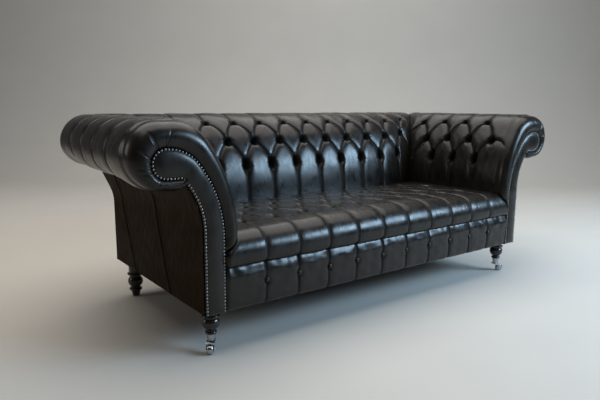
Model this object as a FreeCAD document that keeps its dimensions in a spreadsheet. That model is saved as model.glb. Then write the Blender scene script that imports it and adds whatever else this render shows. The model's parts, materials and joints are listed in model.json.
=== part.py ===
import FreeCAD, Part
import math
import os
import re

import Sketcher

# Chesterfield sofa, three seats wide, with a scroll back and scroll arms at one height.
# X runs to the sitter's left, Y from the front to the rear, Z up. The origin is on the floor,
# under the middle of the plan. All sizes are in millimetres.

SIZES = [
    # Overall form
    ("overall_width", 2174, "across the outermost points of the arm rolls"),
    ("overall_depth", 968, "from the padded front edge to the rear of the back roll"),
    ("overall_height", 780, "floor to the top of the rolls"),
    ("floor_gap", 152, "floor to the underside of the base"),
    ("seat_height", 405, "floor to the seat top"),
    # Scroll of the arms and the back
    ("roll_radius", 103, "radius of the padded roll"),
    ("arm_roll_set", 126, "centre of the arm roll beyond the outside arm"),
    ("back_roll_set", 7, "centre of the back roll beyond the outside back"),
    ("arm_thickness", 127, "outside arm to inside arm at the seat"),
    ("back_thickness", 285, "outside back to inside back at the seat"),
    ("shoulder_reach", 44, "centre of the roll to the start of the inner shoulder"),
    ("inner_sweep", 560, "radius of the inside slope"),
    ("flare_radius", 250, "radius of the outside panels under the roll"),
    ("flare_rise", 25, "seat top to the height at which the outside panels leave the vertical"),
    ("corner_radius", 250, "plan radius of the roll at the rear corners"),
    ("edge_round", 24, "rounding of the padded edge around the facing"),
    ("edge_round_share", 0.1, "largest such rounding, as a share of the flare's height"),
    ("cover_thickness", 4, "leather with its wadding"),
    ("panel_thickness", 3, "flat leather panels of the outside"),
    ("soft_clearance", 0.3, "gap between soft pieces"),
    # Scroll-shaped boards inside
    ("facing_width", 71, "width of the facing below the scroll"),
    ("facing_setback", 18, "padded edge to the face of the facing"),
    ("facing_thickness", 8, "padded facing panel"),
    ("facing_round", 2.5, "rounding of the facing panel's edge"),
    ("scroll_radius", 48, "scroll head of the boards"),
    ("scroll_in", 12, "scroll head's centre inside the roll's centre"),
    ("scroll_drop", 24, "scroll head's centre below the roll's centre"),
    ("board_sweep", 403, "radius of the boards' inner edge"),
    ("board_thickness", 28, "beech boards and rails"),
    ("back_pad_depth", 56, "inside back at the seat to the back boards"),
    ("back_board_inset", 14, "back boards' rear edge inside the outside back"),
    ("back_tongue", 60, "foot of a back board in front of the rear rail"),
    ("form_thickness", 3, "bent fibreboard under the padding"),
    ("rear_stump_set", 31, "front of the rear arm boards behind the inside back"),
    ("back_mid_x", 300, "middle back boards from the centre"),
    ("back_end_set", 25, "end back boards inside the inside arm"),
    ("window_width", 90, "opening cut through each back board"),
    ("window_height", 190, "height of that opening"),
    # Rails
    ("rail_height", 136, "seat rails"),
    ("cross_rail_x", 262, "cross rails from the centre"),
    ("cross_rail_width", 35, "cross rails"),
    ("cross_rail_height", 50, "cross rails"),
    ("cross_rail_rise", 45, "underside of the cross rails above the rails' underside"),
    ("top_rail_depth", 62, "long rails in the scroll heads"),
    ("top_rail_height", 56, "long rails in the scroll heads"),
    ("tack_rail_depth", 25, "tacking rails above the seat"),
    ("tack_rail_height", 40, "tacking rails above the seat"),
    ("tack_rail_rise", 5, "tacking rails above the foot of the padding"),
    ("front_block_leg", 62, "front corner blocks along the rails"),
    ("rear_block_leg", 80, "rear corner blocks along the rails"),
    ("block_height", 50, "corner blocks"),
    # Webbing and seat
    ("web_width", 50, "webbing"),
    ("web_thickness", 2, "webbing"),
    ("web_end", 3, "webbing end to the edge of its rail"),
    ("dust_thickness", 2, "black cloth under the base"),
    ("seat_front_round", 45, "upper front edge of the seat"),
    ("seat_lip_round", 28, "lower front edge of the seat"),
    ("seat_front_height", 104, "padded front edge of the seat"),
    ("border_thickness", 9, "padded lower border at its edges"),
    ("border_crown", 5, "swell of the lower border at its middle"),
    # Buttons
    ("button_radius", 7, "covered buttons"),
    ("button_height", 4, "covered buttons"),
    ("button_pitch", 139, "back, seat and border buttons along a row"),
    ("arm_button_pitch", 135, "arm buttons along a row"),
    ("arm_button_set", 31, "rearmost arm buttons behind the inside back at the seat"),
    ("row_high_drop", 37, "highest button row below the top"),
    ("row_middle_drop", 120, "middle button row below the top"),
    ("row_low_drop", 224, "lowest button row below the top"),
    ("border_button_z", 234, "height of the border buttons"),
    ("seat_row_first", 160, "first seat row behind the facing"),
    ("seat_row_pitch", 107, "seat rows apart"),
    # Legs
    ("leg_set", 50, "legs inside the outside arms"),
    ("front_leg_y", 75, "front legs behind the padded front edge"),
    ("rear_foot_y", 192, "rear feet in front of the back roll's rear"),
    ("leg_bead", 21, "bead above the ferrule, radius"),
    ("leg_bead_height", 10, "bead above the ferrule"),
    ("leg_waist", 16, "waist above the bead, radius"),
    ("leg_cup", 31, "cup of the front leg, radius"),
    ("leg_cup_z", 105, "height of the widest part of the cup"),
    ("leg_neck", 24, "neck above the cup, radius"),
    ("leg_collar", 30, "collar under the base, radius"),
    ("leg_collar_z", 126, "foot of the collar"),
    ("collar_height", 7, "collars of the legs and feet"),
    ("leg_top", 27, "block under the base, radius"),
    ("foot_tip", 13, "tip of the rear foot, radius"),
    ("foot_taper", 20, "top of the tip's taper, radius"),
    ("foot_bead", 27, "bead of the rear foot, radius"),
    ("foot_bead_z", 32, "height of the bead"),
    ("foot_waist", 21, "waist above the bead, radius"),
    ("foot_bulb", 32, "bulb of the rear foot, radius"),
    ("foot_bulb_z", 64, "height of the bulb"),
    ("foot_neck", 25, "neck above the bulb, radius"),
    ("foot_collar", 32, "collar of the rear foot, radius"),
    ("foot_collar_z", 96, "foot of the collar"),
    ("bolt_radius", 4, "leg bolts"),
    ("bolt_grip", 38, "leg bolt inside the leg"),
    ("bolt_rise", 44, "leg bolt above the underside of the base"),
    # Castors
    ("wheel_radius", 17.5, "castor wheel"),
    ("wheel_width", 21, "castor wheel"),
    ("wheel_round", 7, "rounding of the tread at both sides"),
    ("wheel_hub", 5.5, "hub of the castor wheel, radius"),
    ("wheel_dish", 1.5, "hollow between hub and tread, depth and slope"),
    ("trail", 22, "castor axle behind the swivel"),
    ("axle_radius", 2.5, "castor axle"),
    ("axle_head_radius", 4.5, "riveted axle head"),
    ("axle_head", 1.6, "riveted axle head"),
    ("running_gap", 0.08, "radial clearance of the castor bearings"),
    ("side_gap", 0.8, "wheel hub to fork cheek"),
    ("cheek", 2.6, "fork cheek"),
    ("cheek_boss", 6.5, "fork cheek around the axle"),
    ("crown_radius", 13, "fork crown"),
    ("crown_bottom", 37.2, "underside of the fork crown"),
    ("crown_top", 40.4, "top of the fork crown"),
    ("ferrule_gap", 0.4, "fork crown to ferrule"),
    ("stem_radius", 3.5, "castor stem"),
    ("stem_head_radius", 6, "castor stem's head"),
    ("stem_head", 2.2, "castor stem's head"),
    ("stem_top", 92, "top of the castor stem"),
    ("ferrule_radius", 12.5, "ferrule at its foot"),
    ("ferrule_mouth", 16.6, "ferrule at its mouth"),
    ("ferrule_height", 25, "ferrule"),
    ("ferrule_wall", 1.2, "ferrule"),
    ("left_castor_turn", 233, "direction of the left castor's wheel"),
    ("right_castor_turn", -20, "direction of the right castor's wheel"),
]

doc = FreeCAD.newDocument("chesterfield_sofa")
sheet = doc.addObject("Spreadsheet::Sheet", "Sizes")
for row, (alias, value, meaning) in enumerate(SIZES, start=1):
    sheet.set(f"A{row}", meaning)
    sheet.set(f"B{row}", str(value))
    sheet.setAlias(f"B{row}", alias)
doc.recompute()

ALIASES = {alias for alias, _, _ in SIZES}


def bound(words):
    """The expression with each size's name led by the sheet's name."""
    return re.sub(r"[a-z_]+[a-z0-9_]*", lambda m: f"Sizes.{m[0]}" if m[0] in ALIASES else m[0], words)


def worth(words):
    """The number that an expression gives now."""
    value = sheet.evalExpression(bound(words))
    return float(getattr(value, "Value", value))


def size(alias):
    """One size as a number."""
    return float(sheet.get(alias))


# Places that many pieces share, as expressions
FRONT = "(-overall_depth / 2)"
FACE = "(-overall_depth / 2 + facing_setback)"
STUMP_FRONT = f"({FACE} + facing_thickness)"
STUMP_REAR = f"({STUMP_FRONT} + board_thickness)"
ROLL_X = "(overall_width / 2 - roll_radius)"
ROLL_Y = "(overall_depth / 2 - roll_radius)"
ROLL_Z = "(overall_height - roll_radius)"
OUTSIDE_X = f"({ROLL_X} - arm_roll_set)"
OUTSIDE_Y = f"({ROLL_Y} - back_roll_set)"
SHELL_X = f"({OUTSIDE_X} - panel_thickness)"
SHELL_Y = f"({OUTSIDE_Y} - panel_thickness)"
FACING_IN = f"({SHELL_X} - facing_width)"
ARM_IN = f"({OUTSIDE_X} - arm_thickness)"
BACK_IN = f"({OUTSIDE_Y} - back_thickness)"
BACK_BOARD = f"({BACK_IN} + back_pad_depth)"
BACK_END = f"({ARM_IN} - back_end_set)"
REAR_STUMP = f"({BACK_IN} + rear_stump_set)"
FLARE_START = "(seat_height + flare_rise)"
RAIL_FOOT = "(floor_gap + dust_thickness)"
RAIL_TOP = f"({RAIL_FOOT} + rail_height)"
PAD_FOOT = "(seat_height + soft_clearance)"
HEAD_X = f"({ROLL_X} - scroll_in)"
HEAD_Y = f"({ROLL_Y} - scroll_in)"
HEAD_Z = f"({ROLL_Z} - scroll_drop)"
LEG_X = f"({OUTSIDE_X} - leg_set)"
LEG_Y = "(-overall_depth / 2 + front_leg_y)"
FOOT_Y = "(overall_depth / 2 - rear_foot_y)"


# Makers of bound objects

def put(piece, x="0", y="0", z="0"):
    """Bind the place of a piece."""
    for axis, words in (("x", x), ("y", y), ("z", z)):
        piece.setExpression(f"Placement.Base.{axis}", bound(words))


def board(label, corner, extent):
    """A rectangular board from its lowest corner and its three extents."""
    piece = doc.addObject("Part::Box", label)
    piece.Label = label
    put(piece, *corner)
    for name, words in zip(("Length", "Width", "Height"), extent):
        piece.setExpression(name, bound(words))
    return piece


def mirrored(label, source):
    """The piece of the other side."""
    piece = doc.addObject("Part::Mirroring", label)
    piece.Label = label
    piece.Source = source
    piece.Normal = FreeCAD.Vector(1, 0, 0)
    return piece


def grouped(label, pieces):
    """Like pieces in one node, each still a solid of its own."""
    group = doc.addObject("Part::Compound", label)
    group.Label = label
    group.Links = pieces
    return group


def new_body(label, x="0", y="0", z="0"):
    body = doc.addObject("PartDesign::Body", label)
    body.Label = label
    put(body, x, y, z)
    return body


def new_sketch(body, role, offset="0"):
    """An empty sketch on one of the body's own origin planes, moved along the plane's normal."""
    sketch = body.newObject("Sketcher::SketchObject", "Sketch")
    origin_plane = next(item for item in body.Origin.OriginFeatures if item.Role == role)
    sketch.AttachmentSupport = (origin_plane, [""])
    sketch.MapMode = "FlatFace"
    if offset != "0":
        sketch.setExpression("AttachmentOffset.Base.z", bound(offset))
    return sketch


def fix_point(sketch, geometry, point, across, up):
    """Hold one point at two expressions, measured from the sketch's origin."""
    for kind, words, axis in (("DistanceX", across, -2), ("DistanceY", up, -1)):
        if words == "0":
            sketch.addConstraint(Sketcher.Constraint("PointOnObject", geometry, point, axis))
            continue
        index = sketch.addConstraint(Sketcher.Constraint(kind, -1, 1, geometry, point, worth(words)))
        sketch.setExpression(f"Constraints[{index}]", bound(words))


def outline(sketch, start, steps):
    """A closed outline. A step is (across, up) for a line, or (across, up, radius, side) for an arc
    whose centre lies on the left (+1) or the right (-1) of the way from its start to its end."""
    corners = [start] + [step[:2] for step in steps]
    points = [FreeCAD.Vector(worth(u), worth(v), 0) for u, v in corners]
    ends = []
    for index, step in enumerate(steps):
        a, b = points[index], points[index + 1]
        if len(step) == 2:
            geometry = sketch.addGeometry(Part.LineSegment(a, b))
            ends.append((geometry, 1, 2))
            continue
        radius, side = worth(step[2]), step[3]
        chord = b - a
        middle = (a + b) * 0.5
        rise = math.sqrt(max(radius ** 2 - (chord.Length / 2) ** 2, 0))
        normal = FreeCAD.Vector(-chord.y, chord.x, 0).normalize()
        centre = middle + normal * (rise * side)
        angle_a = math.atan2(a.y - centre.y, a.x - centre.x)
        angle_b = math.atan2(b.y - centre.y, b.x - centre.x)
        circle = Part.Circle(centre, FreeCAD.Vector(0, 0, 1), radius)
        if side > 0:
            geometry = sketch.addGeometry(Part.ArcOfCircle(circle, angle_a, angle_b))
            ends.append((geometry, 1, 2))
        else:
            geometry = sketch.addGeometry(Part.ArcOfCircle(circle, angle_b, angle_a))
            ends.append((geometry, 2, 1))
    for index, step in enumerate(steps):
        geometry, head, tail = ends[index]
        follower = ends[(index + 1) % len(steps)]
        sketch.addConstraint(Sketcher.Constraint("Coincident", geometry, tail, follower[0], follower[1]))
        fix_point(sketch, geometry, head, *corners[index])
        if len(step) == 4:
            place = sketch.addConstraint(Sketcher.Constraint("Radius", geometry, worth(step[2])))
            sketch.setExpression(f"Constraints[{place}]", bound(step[2]))


def ring(sketch, across, up, radius):
    """A circle held by its centre and radius."""
    centre = FreeCAD.Vector(worth(across), worth(up), 0)
    geometry = sketch.addGeometry(Part.Circle(centre, FreeCAD.Vector(0, 0, 1), worth(radius)))
    fix_point(sketch, geometry, 3, across, up)
    place = sketch.addConstraint(Sketcher.Constraint("Radius", geometry, worth(radius)))
    sketch.setExpression(f"Constraints[{place}]", bound(radius))


def feature(body, kind, sketch, length=None, reverse=False):
    """Pad or Pocket of a sketch. Without a length it goes right through."""
    item = body.newObject(f"PartDesign::{kind}", kind)
    item.Profile = sketch
    if length:
        item.setExpression("Length", bound(length))
    else:
        item.Type = "ThroughAll"
    item.Reversed = reverse
    return item


def turned(label, start, steps, x="0", y="0", z="0"):
    """A turned piece: its half profile as (radius, height) about the upright axis."""
    body = new_body(label, x, y, z)
    sketch = new_sketch(body, "XZ_Plane")
    outline(sketch, start, steps)
    turning = body.newObject("PartDesign::Revolution", "Revolution")
    turning.Profile = sketch
    turning.ReferenceAxis = (sketch, ["V_Axis"])
    turning.Angle = 360
    return body


def scroll_steps(edge, foot, head, wall, foot_wall=None):
    """The outline of a scroll-shaped board, from its inner foot up the inner edge, round the scroll head
    and down the outer edge. With foot_wall the outer edge flares up to the head, else it is straight."""
    crest = f"({HEAD_Z} + scroll_radius)"
    sweep_x = f"({edge} + board_sweep)"
    rise = f"({crest} - {PAD_FOOT})"
    reach = f"({sweep_x} - {head})"
    shoulder = f"((board_sweep^2 - {reach}^2 - {rise}^2) / (2 * (board_sweep - {rise})))"
    stretch = f"(board_sweep / (board_sweep - {shoulder}))"
    meet = (f"{sweep_x} - {reach} * {stretch}", f"{PAD_FOOT} + ({rise} - {shoulder}) * {stretch}")
    under = f"({HEAD_Z} - scroll_radius)"
    steps = [
        (edge, PAD_FOOT),
        (*meet, "board_sweep", -1),
        (head, crest, shoulder, -1),
        (f"{head} + scroll_radius", HEAD_Z, "scroll_radius", -1),
        (head, under, "scroll_radius", -1),
    ]
    if foot_wall:
        steps += [(foot_wall, under), (foot_wall, foot)]
        return (edge, foot), steps
    flare = "(flare_radius + panel_thickness)"
    neck = f"({wall} + {flare} - sqrt({flare}^2 - ({under} - {FLARE_START})^2))"
    steps += [(neck, under), (wall, FLARE_START, flare, 1), (wall, foot), (edge, foot)]
    return (edge, foot), steps


# Seat rails

board("front_seat_rail", (f"-{FACING_IN}", STUMP_FRONT, RAIL_FOOT),
      (f"2 * {FACING_IN}", "board_thickness", "rail_height"))
side_rail = board("side_seat_rail_right", (f"{SHELL_X} - board_thickness", STUMP_REAR, RAIL_FOOT),
                  ("board_thickness", f"{SHELL_Y} - {STUMP_REAR}", "rail_height"))
mirrored("side_seat_rail_left", side_rail)
board("rear_seat_rail", (f"board_thickness - {SHELL_X}", f"{SHELL_Y} - board_thickness", RAIL_FOOT),
      (f"2 * ({SHELL_X} - board_thickness)", "board_thickness", "rail_height"))
cross_rail = board("cross_rail_one", ("cross_rail_x - cross_rail_width / 2", STUMP_REAR,
                                      f"{RAIL_FOOT} + cross_rail_rise"),
                   ("cross_rail_width", f"{SHELL_Y} - board_thickness - {STUMP_REAR}", "cross_rail_height"))
grouped("seat_cross_rails", [cross_rail, mirrored("cross_rail_two", cross_rail)])


def corner_block(label, y, side, leg, leg_y):
    """A three-cornered block in a corner of the rails, bored for the leg bolt. The side is +1 at the
    front and -1 at the rear."""
    body = new_body(label, f"{SHELL_X} - board_thickness", y, RAIL_FOOT)
    sketch = new_sketch(body, "XY_Plane")
    far = leg if side > 0 else f"-{leg}"
    outline(sketch, ("0", "0"), [(f"-{leg}", "0"), ("0", far), ("0", "0")])
    feature(body, "Pad", sketch, "block_height")
    bore = new_sketch(body, "XY_Plane")
    ring(bore, f"{LEG_X} - {SHELL_X} + board_thickness", f"{leg_y} - {y}", "bolt_radius")
    feature(body, "Pocket", bore, reverse=True)
    return body


front_block = corner_block("front_block", STUMP_REAR, 1, "front_block_leg", LEG_Y)
rear_block = corner_block("rear_block", f"({SHELL_Y} - board_thickness)", -1, "rear_block_leg", FOOT_Y)
grouped("corner_blocks", [front_block, mirrored("front_block_two", front_block),
                          rear_block, mirrored("rear_block_two", rear_block)])

# Scroll-shaped boards of the arms


def arm_board(label, foot, y, thickness):
    """A scroll-shaped board across the arm, from y to y plus its thickness."""
    body = new_body(label, "0", y, "0")
    sketch = new_sketch(body, "XZ_Plane")
    outline(sketch, *scroll_steps(FACING_IN, foot, HEAD_X, SHELL_X))
    feature(body, "Pad", sketch, thickness, reverse=True)
    return body, sketch


front_stump, stump_sketch = arm_board("arm_front_stump_right", RAIL_FOOT, STUMP_FRONT, "board_thickness")
mirrored("arm_front_stump_left", front_stump)
rear_stump, _ = arm_board("rear_stump_one", RAIL_TOP, REAR_STUMP, "board_thickness")
grouped("arm_rear_stumps", [rear_stump, mirrored("rear_stump_two", rear_stump)])
arm_span = f"{REAR_STUMP} - {STUMP_REAR}"
arm_top = board("arm_top_rail_right", (f"{HEAD_X} - top_rail_depth / 2", STUMP_REAR,
                                       f"{HEAD_Z} - top_rail_height / 2"),
                ("top_rail_depth", arm_span, "top_rail_height"))
mirrored("arm_top_rail_left", arm_top)
arm_tack = board("arm_tack_one", (f"{FACING_IN} + 2 * form_thickness", STUMP_REAR, f"{PAD_FOOT} + tack_rail_rise"),
                 ("tack_rail_depth", arm_span, "tack_rail_height"))
grouped("arm_tacking_rails", [arm_tack, mirrored("arm_tack_two", arm_tack)])

# Scroll-shaped boards of the back


def back_board(label, x):
    """An upright board of the back: it stands on the rear rail with a tongue in front of it, is cut
    through for the long rails, and has a window in its middle."""
    body = new_body(label, f"{x} - board_thickness / 2", "0", "0")
    sketch = new_sketch(body, "YZ_Plane")
    rear_edge = f"({SHELL_Y} - back_board_inset)"
    rail_face = f"({SHELL_Y} - board_thickness)"
    heel = f"({RAIL_TOP} + 3 * web_thickness)"
    start, steps = scroll_steps(BACK_BOARD, heel, HEAD_Y, None, rear_edge)
    steps[-1] = (rear_edge, RAIL_TOP)
    steps += [(rail_face, RAIL_TOP), (rail_face, RAIL_FOOT), (f"{rail_face} - back_tongue", RAIL_FOOT),
              (f"{rail_face} - back_tongue", heel), start]
    outline(sketch, start, steps)
    feature(body, "Pad", sketch, "board_thickness")
    cuts = new_sketch(body, "YZ_Plane")
    for corner, extent in (
        ((f"{HEAD_Y} - top_rail_depth / 2", f"{HEAD_Z} - top_rail_height / 2"),
         ("top_rail_depth", "top_rail_height")),
        ((BACK_BOARD, f"{PAD_FOOT} + tack_rail_rise"), ("form_thickness + tack_rail_depth", "tack_rail_height")),
        ((f"({BACK_BOARD} + {rear_edge}) / 2 - window_width / 4", f"{RAIL_TOP} + back_tongue"),
         ("window_width", "window_height")),
    ):
        near, low = corner
        far, high = f"{near} + {extent[0]}", f"{low} + {extent[1]}"
        outline(cuts, (near, low), [(far, low), (far, high), (near, high), (near, low)])
    feature(body, "Pocket", cuts, reverse=True)
    return body, sketch


back_end, back_sketch = back_board("back_end_board_right", BACK_END)
mirrored("back_end_board_left", back_end)
back_mid, _ = back_board("back_mid_one", "back_mid_x")
grouped("back_middle_boards", [back_mid, mirrored("back_mid_two", back_mid)])
back_half = f"({BACK_END} + board_thickness / 2)"
board("back_top_rail", (f"-{back_half}", f"{HEAD_Y} - top_rail_depth / 2", f"{HEAD_Z} - top_rail_height / 2"),
      (f"2 * {back_half}", "top_rail_depth", "top_rail_height"))
board("back_tacking_rail", (f"-{back_half}", f"{BACK_BOARD} + form_thickness", f"{PAD_FOOT} + tack_rail_rise"),
      (f"2 * {back_half}", "tack_rail_depth", "tack_rail_height"))

# Webbing: lengthways strips on the rails, crossed by strips above them

HALF_BOARD = "board_thickness / 2"
BAYS = (
    ("0", f"(back_mid_x - {HALF_BOARD})", 3),
    (f"(back_mid_x + {HALF_BOARD})", f"({BACK_END} - {HALF_BOARD})", 4),
    (f"({BACK_END} + {HALF_BOARD})", FACING_IN, 1),
)
CROSSWAYS = 6
strips = []
for start, end, count in BAYS:
    for number in range(count):
        middle = f"{start} + ({end} - {start}) * {(number + 0.5) / count}"
        strip = board(f"web_long_{len(strips)}", (f"{middle} - web_width / 2", f"{STUMP_FRONT} + web_end", RAIL_TOP),
                      ("web_width", f"{SHELL_Y} - {STUMP_FRONT} - 2 * web_end", "web_thickness"))
        strips += [strip, mirrored(f"web_long_twin_{len(strips)}", strip)]
for number in range(CROSSWAYS):
    middle = f"{STUMP_REAR} + ({REAR_STUMP} - {STUMP_REAR}) * {(number + 0.5) / CROSSWAYS}"
    strips.append(board(f"web_cross_{number}", (f"web_end - {SHELL_X}", f"{middle} - web_width / 2",
                                                f"{RAIL_TOP} + web_thickness"),
                        (f"2 * ({SHELL_X} - web_end)", "web_width", "web_thickness")))
grouped("seat_webbing", strips)

# Seat: foam, its cover with a rolled front edge, and the border below it

SEAT_HALF = f"({FACING_IN} - soft_clearance)"
SEAT_REAR = f"({BACK_BOARD} - form_thickness - soft_clearance)"
SEAT_FOOT = f"({RAIL_TOP} + 2 * web_thickness)"
LIP = "(seat_height - seat_front_height)"
LIP_Y = f"({FRONT} + seat_lip_round)"
TOP_Y = f"({FRONT} + seat_front_round)"
INNER_FRONT = f"({FRONT} + cover_thickness)"
INNER_TOP = "(seat_height - cover_thickness)"
FOAM_EDGE = [
    (TOP_Y, INNER_TOP),
    (INNER_FRONT, "seat_height - seat_front_round", "seat_front_round - cover_thickness", 1),
    (INNER_FRONT, f"{LIP} + seat_lip_round"),
    (LIP_Y, f"{LIP} + cover_thickness", "seat_lip_round - cover_thickness", 1),
]
seat_cover = new_body("seat_cover", f"-{SEAT_HALF}")
cover_sketch = new_sketch(seat_cover, "YZ_Plane")
outline(cover_sketch, (SEAT_REAR, INNER_TOP), FOAM_EDGE + [
    (LIP_Y, LIP),
    (FRONT, f"{LIP} + seat_lip_round", "seat_lip_round", -1),
    (FRONT, "seat_height - seat_front_round"),
    (TOP_Y, "seat_height", "seat_front_round", -1),
    (SEAT_REAR, "seat_height"),
    (SEAT_REAR, INNER_TOP),
])
feature(seat_cover, "Pad", cover_sketch, f"2 * {SEAT_HALF}")
seat_foam = new_body("seat_foam", f"-{SEAT_HALF}")
foam_sketch = new_sketch(seat_foam, "YZ_Plane")
outline(foam_sketch, (SEAT_REAR, INNER_TOP), FOAM_EDGE + [
    (LIP_Y, SEAT_FOOT),
    (SEAT_REAR, SEAT_FOOT),
    (SEAT_REAR, INNER_TOP),
])
feature(seat_foam, "Pad", foam_sketch, f"2 * {SEAT_HALF}")

border = new_body("front_border", f"-{SEAT_HALF}")
border_sketch = new_sketch(border, "YZ_Plane")
BORDER_FACE = f"({STUMP_FRONT} - border_thickness)"
BORDER_TOP = f"({LIP} - soft_clearance)"
half_height = f"(({BORDER_TOP} - {RAIL_FOOT}) / 2)"
outline(border_sketch, (STUMP_FRONT, RAIL_FOOT), [
    (STUMP_FRONT, BORDER_TOP),
    (BORDER_FACE, BORDER_TOP),
    (BORDER_FACE, RAIL_FOOT, f"({half_height}^2 + border_crown^2) / (2 * border_crown)", 1),
    (STUMP_FRONT, RAIL_FOOT),
])
feature(border, "Pad", border_sketch, f"2 * {SEAT_HALF}")

# Facing panels, with a softened front edge

facing, _ = arm_board("facing_panel_right", "floor_gap", FACE, "facing_thickness")
doc.recompute()
pad = facing.Tip
front_face = min(range(len(pad.Shape.Faces)), key=lambda index: pad.Shape.Faces[index].CenterOfMass.y)
soft_edge = facing.newObject("PartDesign::Fillet", "Fillet")
soft_edge.Base = (pad, [f"Face{front_face + 1}"])
soft_edge.setExpression("Radius", bound("facing_round"))
mirrored("facing_panel_left", facing)

# Cloth under the base, with a hole for each leg bolt

dust = new_body("dust_cover", z="floor_gap")
dust_sketch = new_sketch(dust, "XY_Plane")
outline(dust_sketch, (f"-{SHELL_X}", STUMP_FRONT), [
    (SHELL_X, STUMP_FRONT), (SHELL_X, SHELL_Y), (f"-{SHELL_X}", SHELL_Y), (f"-{SHELL_X}", STUMP_FRONT)])
for side in (LEG_X, f"-{LEG_X}"):
    for y in (LEG_Y, FOOT_Y):
        ring(dust_sketch, side, y, "bolt_radius")
feature(dust, "Pad", dust_sketch, "dust_thickness")

# Padding and leather of the arms and the back, formed over the boards

FRONT_Y = worth(FRONT)
HIGH = size("overall_height")
ROLL = size("roll_radius")
ROLL_HEIGHT = worth(ROLL_Z)
SKIN = size("cover_thickness")
PAD_BOTTOM = worth(PAD_FOOT)


def arc_about(start, end, centre):
    """The shorter arc about a centre, from one point to another."""
    spread = (start - centre) + (end - centre)
    spread.normalize()
    return Part.Arc(start, centre + spread * (start - centre).Length, end).toShape()


def meeting(centre_a, radius_a, centre_b, radius_b):
    """The crossing of two upright circles that has the smaller distance from the middle of the sofa."""
    gap = centre_b - centre_a
    along = (radius_a ** 2 - radius_b ** 2 + gap.Length ** 2) / (2 * gap.Length)
    across = math.sqrt(radius_a ** 2 - along ** 2)
    unit = FreeCAD.Vector(gap).normalize()
    foot = centre_a + unit * along
    return foot + FreeCAD.Vector(-unit.z, 0, unit.x).multiply(across * math.copysign(1, unit.z))


def flat(u, z):
    """A point of an upright section, u outward from the middle of the sofa."""
    return FreeCAD.Vector(u, 0, z)


class Scroll:
    """The padded section of an arm or of the back, drawn from the middle of the sofa outward."""

    def __init__(self, inner, roll, wall, inset):
        self.radius = ROLL - inset
        self.centre = flat(roll, ROLL_HEIGHT)
        sweep = size("inner_sweep")
        self.sweep_centre = flat(inner + sweep, PAD_BOTTOM)
        self.sweep = sweep - inset
        shoulder_u = roll - size("shoulder_reach")
        reach = shoulder_u - self.sweep_centre.x
        rise = HIGH - PAD_BOTTOM
        full = (sweep ** 2 - reach ** 2 - rise ** 2) / (2 * (sweep - rise))
        self.shoulder_centre = flat(shoulder_u, HIGH - full)
        self.shoulder = full - inset
        away = FreeCAD.Vector(self.shoulder_centre - self.sweep_centre).normalize()
        self.tangent = self.sweep_centre + away * self.sweep
        self.top = HIGH - inset
        self.wall = wall - inset
        self.flare_centre = flat(wall + size("panel_thickness") + size("flare_radius"), worth(FLARE_START))
        self.flare = self.flare_centre.x - self.wall
        self.neck = meeting(self.centre, self.radius, self.flare_centre, self.flare)
        self.foot = flat(inner + inset, PAD_BOTTOM)

    def head_edges(self):
        """From the top of the inner shoulder over the roll to the neck."""
        crest = flat(self.centre.x, self.top)
        outermost = self.centre + flat(self.radius, 0)
        return [
            Part.makeLine(flat(self.shoulder_centre.x, self.top), crest),
            arc_about(crest, outermost, self.centre),
            arc_about(outermost, self.neck, self.centre),
        ]

    def face(self):
        """The whole section above the seat."""
        shoulder_top = flat(self.shoulder_centre.x, self.top)
        flare_foot = flat(self.wall, self.flare_centre.z)
        wall_foot = flat(self.wall, PAD_BOTTOM)
        edges = [arc_about(self.foot, self.tangent, self.sweep_centre),
                 arc_about(self.tangent, shoulder_top, self.shoulder_centre)]
        edges += self.head_edges()
        edges += [arc_about(self.neck, flare_foot, self.flare_centre),
                  Part.makeLine(flare_foot, wall_foot),
                  Part.makeLine(wall_foot, self.foot)]
        return Part.Face(Part.Wire(edges))

    def corner_face(self, axis_u):
        """The part of the section that sweeps round a rear corner, from the corner's axis outward."""
        shoulder_top = flat(self.shoulder_centre.x, self.top)
        drop = math.sqrt(self.shoulder ** 2 - (self.shoulder_centre.x - axis_u) ** 2)
        inner_top = flat(axis_u, self.shoulder_centre.z + drop)
        inner_foot = flat(axis_u, self.neck.z)
        edges = [arc_about(inner_top, shoulder_top, self.shoulder_centre)] + self.head_edges()
        edges += [Part.makeLine(self.neck, inner_foot), Part.makeLine(inner_foot, inner_top)]
        return Part.Face(Part.Wire(edges))


UPRIGHT = FreeCAD.Vector(0, 0, 1)
QUARTER = FreeCAD.Rotation(UPRIGHT, 90)


def edge_middle(section, y):
    """The centre of mass of the section's flare arc at a depth."""
    flare_foot = flat(section.wall, section.flare_centre.z)
    return arc_about(section.neck, flare_foot, section.flare_centre).CenterOfMass + FreeCAD.Vector(0, y, 0)


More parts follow.
